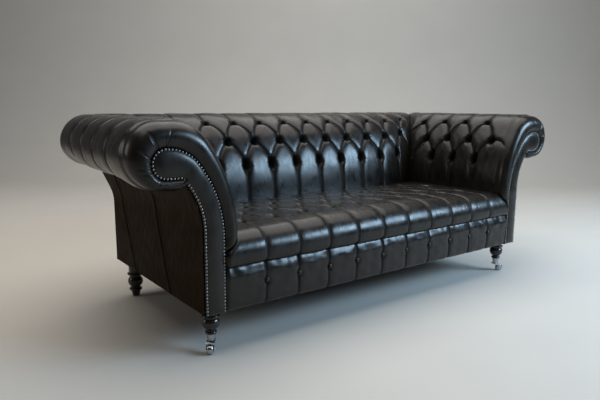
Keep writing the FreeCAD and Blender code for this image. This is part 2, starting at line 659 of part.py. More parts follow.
def padded_form(inset):
    """Both arms, the back and the rounded rear corners, shrunk by an inset."""
    corner = size("corner_radius")
    axis_x = size("overall_width") / 2 - corner
    axis_y = size("overall_depth") / 2 - corner
    arm = Scroll(worth(ARM_IN), worth(ROLL_X), worth(SHELL_X), inset)
    back = Scroll(worth(BACK_IN), worth(ROLL_Y), worth(SHELL_Y), inset)
    front = FRONT_Y + inset
    arm_face = arm.face()
    arm_face.translate(FreeCAD.Vector(0, front, 0))
    arm_block = arm_face.extrude(FreeCAD.Vector(0, axis_y - front, 0))
    room = size("edge_round_share") * (ROLL_HEIGHT - worth(FLARE_START))
    rim = min(size("edge_round"), room) - inset
    front_edges = [edge for edge in arm_block.Edges if abs(edge.CenterOfMass.y - front) < 0.01]
    head_edges = [edge for edge in front_edges if edge.CenterOfMass.z > arm.flare_centre.z
                  and edge.CenterOfMass.distanceToPoint(edge_middle(arm, front)) > 1]
    arm_block = arm_block.makeFillet(rim, head_edges)
    corner_face = arm.corner_face(axis_x)
    corner_face.translate(FreeCAD.Vector(0, axis_y, 0))
    cap = corner_face.revolve(FreeCAD.Vector(axis_x, axis_y, 0), UPRIGHT, 90)
    back_face = back.face()
    back_face.Placement = FreeCAD.Placement(FreeCAD.Vector(axis_x, 0, 0), QUARTER)
    back_block = back_face.extrude(FreeCAD.Vector(-2 * axis_x, 0, 0))
    right = arm_block.fuse(cap)
    left = right.mirror(FreeCAD.Vector(), FreeCAD.Vector(1, 0, 0))
    return back_block.fuse([right, left]).removeSplitter()


def wedge(past, height=1000):
    """The space on the arm side of a mitre at 45 degrees, where x - y is over a given figure."""
    far = size("overall_width")
    plan = [FreeCAD.Vector(past - far, -far, 0), FreeCAD.Vector(past + far, far, 0),
            FreeCAD.Vector(past + 3 * far, -far, 0), FreeCAD.Vector(past - far, -far, 0)]
    return Part.Face(Part.makePolygon(plan)).extrude(FreeCAD.Vector(0, 0, height))


def soft_piece(label, shape):
    """A formed piece whose shape is made here, from the sheet's sizes."""
    piece = doc.addObject("Part::Feature", label)
    piece.Label = label
    piece.Shape = shape
    return piece


def other_side(shape):
    return shape.mirror(FreeCAD.Vector(), FreeCAD.Vector(1, 0, 0))


doc.recompute()
arm_section = Scroll(worth(ARM_IN), worth(ROLL_X), worth(SHELL_X), 0)
back_section = Scroll(worth(BACK_IN), worth(ROLL_Y), worth(SHELL_Y), 0)
arm_profile = Part.Face(stump_sketch.Shape)
back_profile = Part.Face(back_sketch.Shape)

# The arm boards' section from the front to the rear boards, and the back boards' section with the
# fibreboard that is bent over them
stump_prism = Part.Face(stump_sketch.Shape)
stump_prism.translate(FreeCAD.Vector(0, FRONT_Y - 1, 0))
stump_prism = stump_prism.extrude(
    FreeCAD.Vector(0, worth(REAR_STUMP) + size("board_thickness") - FRONT_Y + 1, 0))
hollow = Part.Face(stump_sketch.Shape.makeOffset2D(-size("form_thickness")))
form_face = arm_profile.cut(hollow)
form_face.translate(FreeCAD.Vector(0, worth(STUMP_REAR), 0))
arm_form = form_face.extrude(FreeCAD.Vector(0, worth(arm_span), 0))
above_seat = Part.makeBox(4000, 4000, 2000, FreeCAD.Vector(-2000, -2000, PAD_BOTTOM))
arm_form = arm_form.common(above_seat)
soft_piece("arm_form_right", arm_form)
soft_piece("arm_form_left", other_side(arm_form))

half_back = worth(back_half)
back_outer = Part.Face(back_sketch.Shape.makeOffset2D(size("form_thickness")))
back_prism = back_outer.extrude(FreeCAD.Vector(2 * half_back, 0, 0))
back_prism.translate(FreeCAD.Vector(-half_back, 0, 0))
bent = back_outer.cut(back_profile).extrude(FreeCAD.Vector(2 * half_back, 0, 0))
bent.translate(FreeCAD.Vector(-half_back, 0, 0))
behind = Part.makeBox(4000, 2000, worth(HEAD_Z), FreeCAD.Vector(-2000, worth(f"{HEAD_Y} - scroll_radius"), 0))
soft_piece("back_form", bent.common(above_seat).cut(behind))

outer_form = padded_form(0)
inner_form = padded_form(SKIN)
leather = outer_form.cut(inner_form)
mitre = worth(ARM_IN) - worth(BACK_IN)
right_side = wedge(mitre)
left_side = other_side(right_side)

arm_cover = leather.common(right_side).cut(stump_prism)
soft_piece("arm_cover_right", arm_cover)
soft_piece("arm_cover_left", other_side(arm_cover))
arm_padding = inner_form.common(right_side).cut(stump_prism)
soft_piece("arm_padding_right", arm_padding)
soft_piece("arm_padding_left", other_side(arm_padding))
both_stumps = [stump_prism, other_side(stump_prism)]
back_cover = leather.cut([right_side, left_side] + both_stumps)
soft_piece("back_cover", max(back_cover.Solids, key=lambda solid: solid.Volume))
soft_piece("back_padding", inner_form.cut([right_side, left_side, back_prism] + both_stumps))


def outside_face(wall):
    """The section of a flat outside panel that flares out under the roll."""
    radius = size("flare_radius")
    thickness = size("panel_thickness")
    centre = flat(wall + radius, worth(FLARE_START))
    turn = math.radians(52)
    reach = flat(-math.cos(turn), math.sin(turn))
    high_out = centre + reach * radius
    high_in = centre + reach * (radius + thickness)
    low = size("floor_gap")
    edges = [Part.makeLine(flat(wall, low), flat(wall, centre.z)),
             arc_about(flat(wall, centre.z), high_out, centre),
             Part.makeLine(high_out, high_in),
             arc_about(high_in, flat(wall - thickness, centre.z), centre),
             Part.makeLine(flat(wall - thickness, centre.z), flat(wall - thickness, low)),
             Part.makeLine(flat(wall - thickness, low), flat(wall, low))]
    return Part.Face(Part.Wire(edges))


outer_x = worth(OUTSIDE_X)
outer_y = worth(OUTSIDE_Y)
outside_arm = outside_face(outer_x)
outside_arm.translate(FreeCAD.Vector(0, worth(FACE), 0))
outside_arm = outside_arm.extrude(FreeCAD.Vector(0, size("overall_depth"), 0))
rear_mitre = wedge(outer_x - outer_y)
under_roll = Part.makeBox(4000, 4000, arm_section.neck.z, FreeCAD.Vector(-2000, -2000, 0))
outside_arm = outside_arm.common(rear_mitre).common(under_roll).cut(outer_form)
soft_piece("outside_arm_right", outside_arm)
soft_piece("outside_arm_left", other_side(outside_arm))
outside_back = outside_face(outer_y)
outside_back.Placement = FreeCAD.Placement(FreeCAD.Vector(outer_x + ROLL, 0, 0), QUARTER)
outside_back = outside_back.extrude(FreeCAD.Vector(-2 * (outer_x + ROLL), 0, 0))
outside_back = outside_back.common(under_roll).cut([rear_mitre, other_side(rear_mitre), outer_form])
soft_piece("outside_back", outside_back)

# Buttons: domed caps on the leather


def button(place, outward):
    """One button cap, flat side on the leather."""
    radius, height = size("button_radius"), size("button_height")
    ball = (radius ** 2 + height ** 2) / (2 * height)
    base = math.degrees(math.asin((ball - height) / ball))
    cap = Part.makeSphere(ball, FreeCAD.Vector(), UPRIGHT, base, 90, 360)
    cap.translate(UPRIGHT * (height - ball))
    cap.Placement = FreeCAD.Placement(place, FreeCAD.Rotation(UPRIGHT, outward)).multiply(cap.Placement)
    return cap


def slope_point(section, height):
    """The point and the outward direction of a section's inner side at a height."""
    if height < section.tangent.z:
        centre, radius = section.sweep_centre, section.sweep
    else:
        centre, radius = section.shoulder_centre, section.shoulder
    rise = height - centre.z
    spot = flat(centre.x - math.sqrt(radius ** 2 - rise ** 2), height)
    return spot, (spot - centre).normalize()


pitch = size("button_pitch")
rows = [HIGH - size(drop) for drop in ("row_high_drop", "row_middle_drop", "row_low_drop")]

back_buttons = []
for row, height in enumerate(rows):
    spot, outward = slope_point(back_section, height)
    count = 11 if row == 1 else 10
    for number in range(count):
        across = (number - (count - 1) / 2) * pitch
        back_buttons.append(button(FreeCAD.Vector(across, spot.x, spot.z), FreeCAD.Vector(0, outward.x, outward.z)))
soft_piece("back_buttons", Part.makeCompound(back_buttons))

arm_button_rear = worth(BACK_IN) + size("arm_button_set")
arm_buttons = []
for row, height in enumerate(rows):
    spot, outward = slope_point(arm_section, height)
    for number in range(row == 2, 4):
        along = arm_button_rear - (number + (row == 1) / 2) * size("arm_button_pitch")
        arm_buttons.append(button(FreeCAD.Vector(spot.x, along, spot.z), FreeCAD.Vector(outward.x, 0, outward.z)))
soft_piece("arm_buttons_right", Part.makeCompound(arm_buttons))
soft_piece("arm_buttons_left", other_side(Part.makeCompound(arm_buttons)))

seat_buttons = []
for row in range(4):
    count = 9 if row % 2 else 10
    for number in range(count):
        across = (number - (count - 1) / 2) * pitch
        along = worth(FACE) + size("seat_row_first") + row * size("seat_row_pitch")
        seat_buttons.append(button(FreeCAD.Vector(across, along, size("seat_height")), UPRIGHT))
soft_piece("seat_buttons", Part.makeCompound(seat_buttons))

border_middle = (worth(BORDER_TOP) + worth(RAIL_FOOT)) / 2
border_radius = worth(f"({half_height}^2 + border_crown^2) / (2 * border_crown)")
border_centre = FreeCAD.Vector(0, worth(BORDER_FACE) - size("border_crown") + border_radius, border_middle)
climb = size("border_button_z") - border_middle
border_out = FreeCAD.Vector(0, -math.sqrt(border_radius ** 2 - climb ** 2), climb).normalize()
border_buttons = []
for number in range(10):
    spot = border_centre + border_out * border_radius + FreeCAD.Vector((number - 4.5) * pitch, 0, 0)
    border_buttons.append(button(spot, border_out))
soft_piece("border_buttons", Part.makeCompound(border_buttons))

# Front legs: a cup-shaped turning with a bead, and a spigot for the ferrule

FERRULE_FOOT = "(crown_top + ferrule_gap)"
FERRULE_TOP = f"({FERRULE_FOOT} + ferrule_height)"
SPIGOT_FOOT = f"({FERRULE_FOOT} + ferrule_wall)"
BOLT_FOOT = "(floor_gap - bolt_grip)"
BEAD_TOP = f"({FERRULE_TOP} + leg_bead_height)"
front_leg = turned("front_leg_right", ("stem_radius", SPIGOT_FOOT), [
    ("ferrule_radius - ferrule_wall", SPIGOT_FOOT),
    ("ferrule_mouth - ferrule_wall", FERRULE_TOP),
    ("leg_bead - 3", FERRULE_TOP),
    ("leg_bead - 3", BEAD_TOP, "leg_bead_height * 0.6", 1),
    ("leg_waist", f"{BEAD_TOP} + 1"),
    ("leg_waist", f"{BEAD_TOP} + 4"),
    ("leg_cup", "leg_cup_z", "leg_cup", 1),
    ("leg_neck", "leg_collar_z - 4", "leg_cup * 0.7", 1),
    ("leg_neck", "leg_collar_z - 2"),
    ("leg_collar", "leg_collar_z"),
    ("leg_collar", "leg_collar_z + collar_height", "collar_height * 0.7", 1),
    ("leg_top", "leg_collar_z + collar_height + 2"),
    ("leg_top", "floor_gap"),
    ("bolt_radius", "floor_gap"),
    ("bolt_radius", BOLT_FOOT),
    ("0", BOLT_FOOT),
    ("0", "stem_top"),
    ("stem_radius", "stem_top"),
    ("stem_radius", SPIGOT_FOOT),
], LEG_X, LEG_Y)
mirrored("front_leg_left", front_leg)

# Rear feet: taper, bead, bulb and collar in one turning

rear_foot = turned("rear_foot_right", ("0", "0"), [
    ("foot_tip", "0"),
    ("foot_tip + 1.5", "2"),
    ("foot_taper", "foot_bead_z - 7"),
    ("foot_bead - 2", "foot_bead_z - 5"),
    ("foot_bead - 2", "foot_bead_z + 5", "6", 1),
    ("foot_waist", "foot_bead_z + 7"),
    ("foot_waist", "foot_bead_z + 13", "6", -1),
    ("foot_bulb", "foot_bulb_z", "foot_bulb * 0.8", 1),
    ("foot_neck", "foot_collar_z - 12", "foot_bulb * 0.8", 1),
    ("foot_neck", "foot_collar_z - 4", "8", -1),
    ("foot_collar", "foot_collar_z"),
    ("foot_collar", "foot_collar_z + collar_height", "collar_height * 0.7", 1),
    ("leg_top", "foot_collar_z + collar_height + 3"),
    ("leg_top", "floor_gap"),
    ("bolt_radius", "floor_gap"),
    ("bolt_radius", BOLT_FOOT),
    ("0", BOLT_FOOT),
    ("0", "0"),
], LEG_X, FOOT_Y)
mirrored("rear_foot_left", rear_foot)

bolts = []
for number, y in enumerate((LEG_Y, FOOT_Y)):
    bolt = doc.addObject("Part::Cylinder", f"leg_bolt_{number}")
    put(bolt, LEG_X, y, BOLT_FOOT)
    bolt.setExpression("Radius", bound("bolt_radius"))
    bolt.setExpression("Height", bound("bolt_grip + bolt_rise"))
    bolts += [bolt, mirrored(f"leg_bolt_twin_{number}", bolt)]
grouped("leg_bolts", bolts)

# Castors: ferrule and stem fast on the leg, fork on the stem, wheel on the fork's axle

ferrule = turned("ferrule_right", ("stem_radius", FERRULE_FOOT), [
    ("ferrule_radius", FERRULE_FOOT),
    ("ferrule_mouth", FERRULE_TOP),
    ("ferrule_mouth - ferrule_wall", FERRULE_TOP),
    ("ferrule_radius - ferrule_wall", SPIGOT_FOOT),
    ("stem_radius", SPIGOT_FOOT),
    ("stem_radius", FERRULE_FOOT),
], LEG_X, LEG_Y)
mirrored("ferrule_left", ferrule)
HEAD_TOP = "(crown_bottom - running_gap)"
stem = turned("castor_stem_right", ("0", f"{HEAD_TOP} - stem_head"), [
    ("stem_head_radius - 1", f"{HEAD_TOP} - stem_head"),
    ("stem_head_radius", f"{HEAD_TOP} - stem_head + 1", "1", 1),
    ("stem_head_radius", HEAD_TOP),
    ("stem_radius", HEAD_TOP),
    ("stem_radius", "stem_top"),
    ("0", "stem_top"),
    ("0", f"{HEAD_TOP} - stem_head"),
], LEG_X, LEG_Y)
mirrored("castor_stem_left", stem)

CHEEK_IN = "(wheel_width / 2 + side_gap)"
CHEEK_OUT = f"({CHEEK_IN} + cheek)"


def castor(side, x, turn):
    """Fork, axle and wheel of one castor, its wheel standing in the direction turn."""
    fork = new_body(f"castor_fork_{side}", x, LEG_Y)
    profile = new_sketch(fork, "XZ_Plane", f"-{CHEEK_OUT}")
    outline(profile, ("-crown_radius", "crown_bottom"), [
        ("-crown_radius + 4", "crown_bottom - 4", "4", 1),
        ("4", "crown_bottom - 6"),
        ("trail - cheek_boss", "wheel_radius", "24", -1),
        ("trail", "wheel_radius - cheek_boss", "cheek_boss", 1),
        ("trail + cheek_boss", "wheel_radius", "cheek_boss", 1),
        ("crown_radius", "crown_top", "38", 1),
        ("-crown_radius", "crown_top"),
        ("-crown_radius", "crown_bottom"),
    ])
    feature(fork, "Pad", profile, f"2 * {CHEEK_OUT}")
    slot = new_sketch(fork, "XY_Plane")
    outline(slot, ("-2 * crown_radius", f"-{CHEEK_IN}"), [
        ("trail + 2 * wheel_radius", f"-{CHEEK_IN}"),
        ("trail + 2 * wheel_radius", CHEEK_IN),
        ("-2 * crown_radius", CHEEK_IN),
        ("-2 * crown_radius", f"-{CHEEK_IN}"),
    ])
    feature(fork, "Pocket", slot, "crown_bottom", reverse=True)
    stem_hole = new_sketch(fork, "XY_Plane")
    ring(stem_hole, "0", "0", "stem_radius + running_gap")
    feature(fork, "Pocket", stem_hole, reverse=True)
    axle_hole = new_sketch(fork, "XZ_Plane", f"-{CHEEK_OUT}")
    ring(axle_hole, "trail", "wheel_radius", "axle_radius")
    feature(fork, "Pocket", axle_hole, reverse=True)
    head = f"({CHEEK_OUT} + axle_head)"
    axle = turned(f"castor_axle_{side}", ("0", f"-{head}"), [
        ("axle_head_radius - 1", f"-{head}"),
        ("axle_head_radius", f"-{CHEEK_OUT}"),
        ("axle_radius", f"-{CHEEK_OUT}"),
        ("axle_radius", CHEEK_OUT),
        ("axle_head_radius", CHEEK_OUT),
        ("axle_head_radius - 1", head),
        ("0", head),
        ("0", f"-{head}"),
    ])
    wheel = turned(f"castor_wheel_{side}", ("axle_radius + running_gap", "-wheel_width / 2"), [
        ("wheel_hub", "-wheel_width / 2"),
        ("wheel_hub + wheel_dish", "-wheel_width / 2 + wheel_dish"),
        ("wheel_radius - wheel_round - wheel_dish", "-wheel_width / 2 + wheel_dish"),
        ("wheel_radius - wheel_round", "-wheel_width / 2"),
        ("wheel_radius", "wheel_round - wheel_width / 2", "wheel_round", 1),
        ("wheel_radius", "wheel_width / 2 - wheel_round"),
        ("wheel_radius - wheel_round", "wheel_width / 2", "wheel_round", 1),
        ("wheel_radius - wheel_round - wheel_dish", "wheel_width / 2 - wheel_dish"),
        ("wheel_hub + wheel_dish", "wheel_width / 2 - wheel_dish"),
        ("wheel_hub", "wheel_width / 2"),
        ("axle_radius + running_gap", "wheel_width / 2"),
        ("axle_radius + running_gap", "-wheel_width / 2"),
    ])
    fork.Placement.Rotation = FreeCAD.Rotation(UPRIGHT, worth(turn))
    for piece in (axle, wheel):
        put(piece, f"{x} + trail * cos({turn} * 1deg)", f"{LEG_Y} + trail * sin({turn} * 1deg)", "wheel_radius")
        lie_down = FreeCAD.Rotation(FreeCAD.Vector(1, 0, 0), 90)
        piece.Placement.Rotation = FreeCAD.Rotation(UPRIGHT, worth(turn)).multiply(lie_down)


castor("right", LEG_X, "right_castor_turn")
castor("left", f"-{LEG_X}", "left_castor_turn")

doc.recompute()

# Every object must have rebuilt, and every node is written to its own file

used = {link.Name for item in doc.Objects if item.isDerivedFrom("Part::Compound") for link in item.Links}
for item in doc.Objects:
    if "Invalid" in item.State or "Error" in item.State:
        raise RuntimeError(f"{item.Label} did not rebuild: {item.State}")

KINDS = ("PartDesign::Body", "Part::Box", "Part::Cylinder", "Part::Mirroring", "Part::Compound", "Part::Feature")
nodes = [item for item in doc.Objects if item.TypeId in KINDS and item.Name not in used]
os.makedirs("parts", exist_ok=True)
for node in nodes:
    shape = node.Shape
    if shape.isNull() or not shape.isValid() or not shape.Solids:
        raise RuntimeError(f"{node.Label} has no sound solid")
for node in nodes:
    node.Shape.exportStep(f"parts/{node.Label}.step")
print(len(nodes), "nodes,", sum(len(node.Shape.Solids) for node in nodes), "solids")
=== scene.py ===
"""Looks of a deep-buttoned leather sofa with scroll arms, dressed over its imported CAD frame."""

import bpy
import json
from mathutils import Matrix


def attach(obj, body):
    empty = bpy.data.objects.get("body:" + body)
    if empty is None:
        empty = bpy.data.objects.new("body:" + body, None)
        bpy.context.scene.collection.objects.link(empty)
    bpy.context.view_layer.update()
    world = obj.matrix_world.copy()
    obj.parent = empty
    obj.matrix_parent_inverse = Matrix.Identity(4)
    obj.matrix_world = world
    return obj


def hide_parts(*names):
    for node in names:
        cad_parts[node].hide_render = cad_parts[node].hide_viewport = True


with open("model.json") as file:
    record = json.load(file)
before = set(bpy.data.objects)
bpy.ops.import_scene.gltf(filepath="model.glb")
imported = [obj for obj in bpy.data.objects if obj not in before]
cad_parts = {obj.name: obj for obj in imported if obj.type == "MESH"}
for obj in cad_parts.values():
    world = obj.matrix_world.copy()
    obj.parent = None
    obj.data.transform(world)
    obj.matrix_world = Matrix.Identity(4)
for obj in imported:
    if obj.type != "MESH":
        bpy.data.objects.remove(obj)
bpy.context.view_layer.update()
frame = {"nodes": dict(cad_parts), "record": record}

import json
import logging
import math
from collections.abc import Callable
from dataclasses import dataclass, field
from enum import Enum

import bpy
import numpy as np
from mathutils import Matrix, Vector
from mathutils.geometry import delaunay_2d_cdt

log = logging.getLogger("sofa")
Array = np.ndarray
Pair = tuple[float, float]
Triple = tuple[float, float, float]
Hole = tuple[float, float, float, float]
Socket = bpy.types.NodeSocket
Piece = bpy.types.Object


class Side(Enum):
    """The two sides of the sofa, by the sign of X."""

    RIGHT = 1
    LEFT = -1


# Sizes that several pieces share, in metres

FRONT = -0.484
FACE = -0.466
FLOOR_GAP = 0.152
SEAT_TOP = 0.4053
TOP = 0.780
ROLL_RADIUS = 0.103
ROLL_OUT = 0.147
CORNER_X = 0.837
CORNER_Y = 0.234
WALL_X = 0.858
WALL_Y = 0.374
FACING_IN = 0.784
FLARE_START = 0.430
FLARE_RADIUS = 0.250
PITCH = 0.139
ARM_PITCH = 0.135
GRID = 0.004
HEM = 0.055
SAME_PLACE = 0.004


def smooth(x: Array) -> Array:
    """A soft step from 0 at 0 to 1 at 1."""
    x = np.clip(x, 0.0, 1.0)
    return x * x * (3.0 - 2.0 * x)


def arc(centre: Pair, radius: float, start: float, end: float, count: int) -> Array:
    """Points of an arc in an upright section.

    Args:
        centre: the arc's centre, outward and up.
        radius: its radius.
        start: first angle in degrees, from outward towards up.
        end: last angle.
        count: how many points, the first left out by the caller where it repeats.

    Returns:
        An array of points, outward and up.
    """
    angles = np.radians(np.linspace(start, end, count))
    return np.stack([centre[0] + radius * np.cos(angles), centre[1] + radius * np.sin(angles)], axis=1)


def lengths(path: Array) -> Array:
    """The distance along a path at each of its points."""
    steps = np.linalg.norm(np.diff(path, axis=0), axis=1)
    return np.concatenate([[0.0], np.cumsum(steps)])


def ripple(points: Array, wave: float, seed: int) -> Array:
    """A smooth wavy field from a few slanted sines, from about -1 to 1.

    Args:
        points: places, any number of coordinates.
        wave: the typical wavelength in metres.
        seed: which of the possible fields.

    Returns:
        One value for each place.
    """
    rng = np.random.default_rng(seed)
    total = np.zeros(points.shape[:-1])
    for _ in range(9):
        way = rng.normal(size=points.shape[-1])
        way /= np.linalg.norm(way)
        total += np.sin(points @ way * 2 * math.pi / (wave * rng.uniform(0.6, 1.7)) + rng.uniform(0, 6.28))
    return total / 3.6


# Meshes

def grid_faces(rows: int, columns: int, flip: bool) -> Array:
    """Quads between the points of a grid, row after row."""
    row, column = np.meshgrid(np.arange(rows - 1), np.arange(columns - 1), indexing="ij")
    first = (row * columns + column).ravel()
    quads = np.stack([first, first + 1, first + columns + 1, first + columns], axis=1)
    return quads[:, ::-1] if flip else quads


def make_piece(name: str, points: Array, faces: list | Array,
               marks: dict[str, Array] | None = None) -> Piece:
    """A smooth-shaded mesh object at the origin.

    Args:
        name: the piece's name.
        points: its vertices.
        faces: vertex numbers of each face.
        marks: values for each vertex, by attribute name.

    Returns:
        The new object, in the scene.
    """
    mesh = bpy.data.meshes.new(name)
    mesh.from_pydata(np.asarray(points).reshape(-1, 3).tolist(), [], [list(map(int, face)) for face in faces])
    mesh.polygons.foreach_set("use_smooth", [True] * len(mesh.polygons))
    for key, values in (marks or {}).items():
        layer = mesh.attributes.new(key, "FLOAT", "POINT")
        layer.data.foreach_set("value", np.asarray(values, dtype=np.float32).ravel())
    mesh.update()
    piece = bpy.data.objects.new(name, mesh)
    bpy.context.scene.collection.objects.link(piece)
    return piece


def lathe(name: str, profile: list[Pair], sides: int) -> Piece:
    """A turned mesh about Z, closed at its first and last points, which lie on the axis."""
    ring = np.linspace(0, 2 * math.pi, sides, endpoint=False)
    inner = profile[1:-1]
    points = [(0.0, 0.0, profile[0][1])]
    for radius, height in inner:
        points += [(radius * math.cos(a), radius * math.sin(a), height) for a in ring]
    points.append((0.0, 0.0, profile[-1][1]))
    faces = []
    for n in range(sides):
        m = (n + 1) % sides
        faces.append([0, 1 + m, 1 + n])
        last = 1 + (len(inner) - 1) * sides
        faces.append([last + n, last + m, len(points) - 1])
        for level in range(len(inner) - 1):
            low, high = 1 + level * sides, 1 + (level + 1) * sides
            faces.append([low + n, low + m, high + m, high + n])
    return make_piece(name, np.array(points), faces)


# Materials

class NodeSheet:
    """A small helper for building one material's nodes."""

    def __init__(self, name: str) -> None:
        """Start an empty material with a Principled surface."""
        self.material = bpy.data.materials.new(name)
        self.material.use_nodes = True
        self.tree = self.material.node_tree
        self.surface = self.tree.nodes["Principled BSDF"]

    def add(self, kind: str, **settings: object) -> bpy.types.Node:
        """Add a node and set its properties, and its inputs where a name is one."""
        node = self.tree.nodes.new(kind)
        for key, value in settings.items():
            if hasattr(node, key):
                setattr(node, key, value)
            else:
                node.inputs[key.replace("_", " ")].default_value = value
        return node

    def link(self, source: Socket, target: Socket) -> None:
        """Join two sockets."""
        self.tree.links.new(source, target)

    def drive(self, value: Socket, name: str) -> None:
        """Let a value set one of the surface's own sockets."""
        self.link(value, self.surface.inputs[name])

    def place(self, stretch: Triple = (1, 1, 1)) -> Socket:
        """Object coordinates, stretched."""
        coordinates = self.add("ShaderNodeTexCoord")
        mapping = self.add("ShaderNodeMapping")
        mapping.inputs["Scale"].default_value = stretch
        self.link(coordinates.outputs["Object"], mapping.inputs["Vector"])
        return mapping.outputs["Vector"]

    def noise(self, scale: float, detail: float = 3.0, stretch: Triple = (1, 1, 1)) -> Socket:
        """A noise value on object coordinates."""
        node = self.add("ShaderNodeTexNoise", Scale=scale, Detail=detail)
        self.link(self.place(stretch), node.inputs["Vector"])
        return node.outputs["Fac"]

    def mark(self, name: str) -> Socket:
        """A vertex value of the piece."""
        return self.add("ShaderNodeAttribute", attribute_name=name).outputs["Fac"]

    def spread(self, value: Socket, low: float, high: float, to_low: float, to_high: float) -> Socket:
        """A value moved from one range to another and held there."""
        node = self.add("ShaderNodeMapRange", From_Min=low, From_Max=high, To_Min=to_low, To_Max=to_high)
        self.link(value, node.inputs["Value"])
        return node.outputs["Result"]

    def blend(self, factor: Socket, first: object, second: object) -> Socket:
        """Two colours mixed by a factor; each is a colour or a socket."""
        node = self.add("ShaderNodeMix", data_type="RGBA")
        self.link(factor, node.inputs[0])
        for socket, value in ((node.inputs[6], first), (node.inputs[7], second)):
            if isinstance(value, Socket):
                self.link(value, socket)
            else:
                socket.default_value = (*value, 1.0)
        return node.outputs[2]

    def maths(self, operation: str, first: object, second: object) -> Socket:
        """One sum of two values; each is a number or a socket."""
        node = self.add("ShaderNodeMath", operation=operation)
        for socket, value in zip(node.inputs, (first, second)):
            if isinstance(value, Socket):
                self.link(value, socket)
            else:
                socket.default_value = value
        return node.outputs[0]

    def weighed(self, first: Socket, share: float, second: Socket, other: float) -> Socket:
        """The sum of two values, each times its share."""
        return self.maths("ADD", self.maths("MULTIPLY", first, share), self.maths("MULTIPLY", second, other))

    def bump(self, height: Socket, strength: float, depth: float) -> None:
        """Lay one more bump on the surface's normal."""
        node = self.add("ShaderNodeBump", Strength=strength, Distance=depth)
        self.link(height, node.inputs["Height"])
        normal = self.surface.inputs["Normal"]
        if normal.links:
            self.link(normal.links[0].from_socket, node.inputs["Normal"])
        self.link(node.outputs["Normal"], normal)

    def level(self, **values: float | tuple) -> None:
        """Plain values of the surface's own sockets."""
        for key, value in values.items():
            self.surface.inputs[key.replace("_", " ")].default_value = value


@dataclass(frozen=True)
class Leather:
    """Waxed pull-up leather, its brown varied at random; painted shade makes it darker in its hollows than on
    its crests, and near black along its creases.
    """

    name: str = "dark_leather"
    # deep is the painted shade colour of the hollows; body and pulled are the leather's own tones, mixed at
    # random
    deep: Triple = (0.0016, 0.0013, 0.0012)
    body: Triple = (0.0048, 0.0038, 0.0032)
    pulled: Triple = (0.0125, 0.0096, 0.0074)
    roughness: float = 0.29
    shine: float = 0.30
    coat: float = 0.06
    plain: bool = False

    def build(self) -> bpy.types.Material:
        """The finished material."""
        sheet = NodeSheet(self.name)
        relief = sheet.mark("relief")
        crease = sheet.mark("crease")
        clouds = sheet.noise(4.0 if self.plain else 6.0, 5.0)
        streaks = sheet.noise(24.0 if self.plain else 38.0, 4.0, (1.0, 1.0, 1.0 if self.plain else 0.45))
        tone = sheet.weighed(clouds, 0.55, streaks, 0.45)
        base = sheet.blend(sheet.spread(tone, 0.36, 0.64, 0.0, 1.0), self.body, self.pulled)
        # painted shade: where the relief mark is low, the hollows are darkened towards deep
        hollow_shade = sheet.spread(relief, -0.75, 0.05, 1.0, 0.0)
        base = sheet.blend(hollow_shade, base, self.deep)
        # painted shade: near-black lines along the folds and creases that the crease mark carries
        base = sheet.blend(sheet.spread(crease, 0.05, 0.6, 0.0, 0.95), base, (0.0010, 0.0009, 0.0008))
        sheet.drive(base, "Base Color")
        wear = sheet.spread(streaks, 0.3, 0.7, self.roughness - 0.05, self.roughness + 0.09)
        rough = sheet.maths("ADD", wear, sheet.maths("MULTIPLY", crease, 0.6))
        sheet.drive(rough, "Roughness")
        sheet.level(Coat_Weight=self.coat, Coat_Roughness=0.2, Specular_IOR_Level=self.shine)
        cells = sheet.add("ShaderNodeTexVoronoi", feature="DISTANCE_TO_EDGE", Scale=620.0)
        sheet.link(sheet.place(), cells.inputs["Vector"])
        sheet.bump(sheet.spread(cells.outputs["Distance"], 0.0, 0.12, 0.0, 1.0), 0.12, 0.00012)
        sheet.bump(sheet.noise(260.0, 3.0), 0.10, 0.00035)
        wrinkles = sheet.noise(48.0, 5.0, (1.0, 1.0, 1.0 if self.plain else 0.5))
        sheet.bump(wrinkles, 0.04 if self.plain else 0.08, 0.0022)
        return sheet.material


@dataclass(frozen=True)
class Lacquer:
    """Black gloss lacquer on turned wood, with the grain just showing."""

    name: str = "black_lacquer"

    def build(self) -> bpy.types.Material:
        """The finished material."""
        sheet = NodeSheet(self.name)
        grain = sheet.noise(30.0, 6.0, (9.0, 9.0, 0.7))
        colour = sheet.blend(sheet.spread(grain, 0.35, 0.65, 0.0, 1.0), (0.006, 0.005, 0.0045),
                             (0.020, 0.013, 0.009))
        sheet.drive(colour, "Base Color")
        sheet.drive(sheet.spread(grain, 0.3, 0.7, 0.16, 0.28), "Roughness")
        sheet.level(Coat_Weight=0.3, Coat_Roughness=0.08, Specular_IOR_Level=0.35)
        sheet.bump(grain, 0.12, 0.0004)
        return sheet.material


@dataclass(frozen=True)
class Metal:
    """Plated or plain metal with fine scratches and light soiling."""

    name: str
    bright: Triple
    dull: Triple
    roughness: float
    soil: float = 0.3

    def build(self) -> bpy.types.Material:
        """The finished material."""
        sheet = NodeSheet(self.name)
        patches = sheet.noise(160.0, 4.0)
        colour = sheet.blend(sheet.spread(patches, 0.4, 0.75, 0.0, self.soil), self.bright, self.dull)
        sheet.drive(colour, "Base Color")
        sheet.drive(sheet.spread(patches, 0.3, 0.8, self.roughness, self.roughness + 0.16), "Roughness")
        sheet.level(Metallic=1.0)
        sheet.bump(sheet.noise(900.0, 2.0, (1.0, 1.0, 6.0)), 0.08, 0.0002)
        return sheet.material


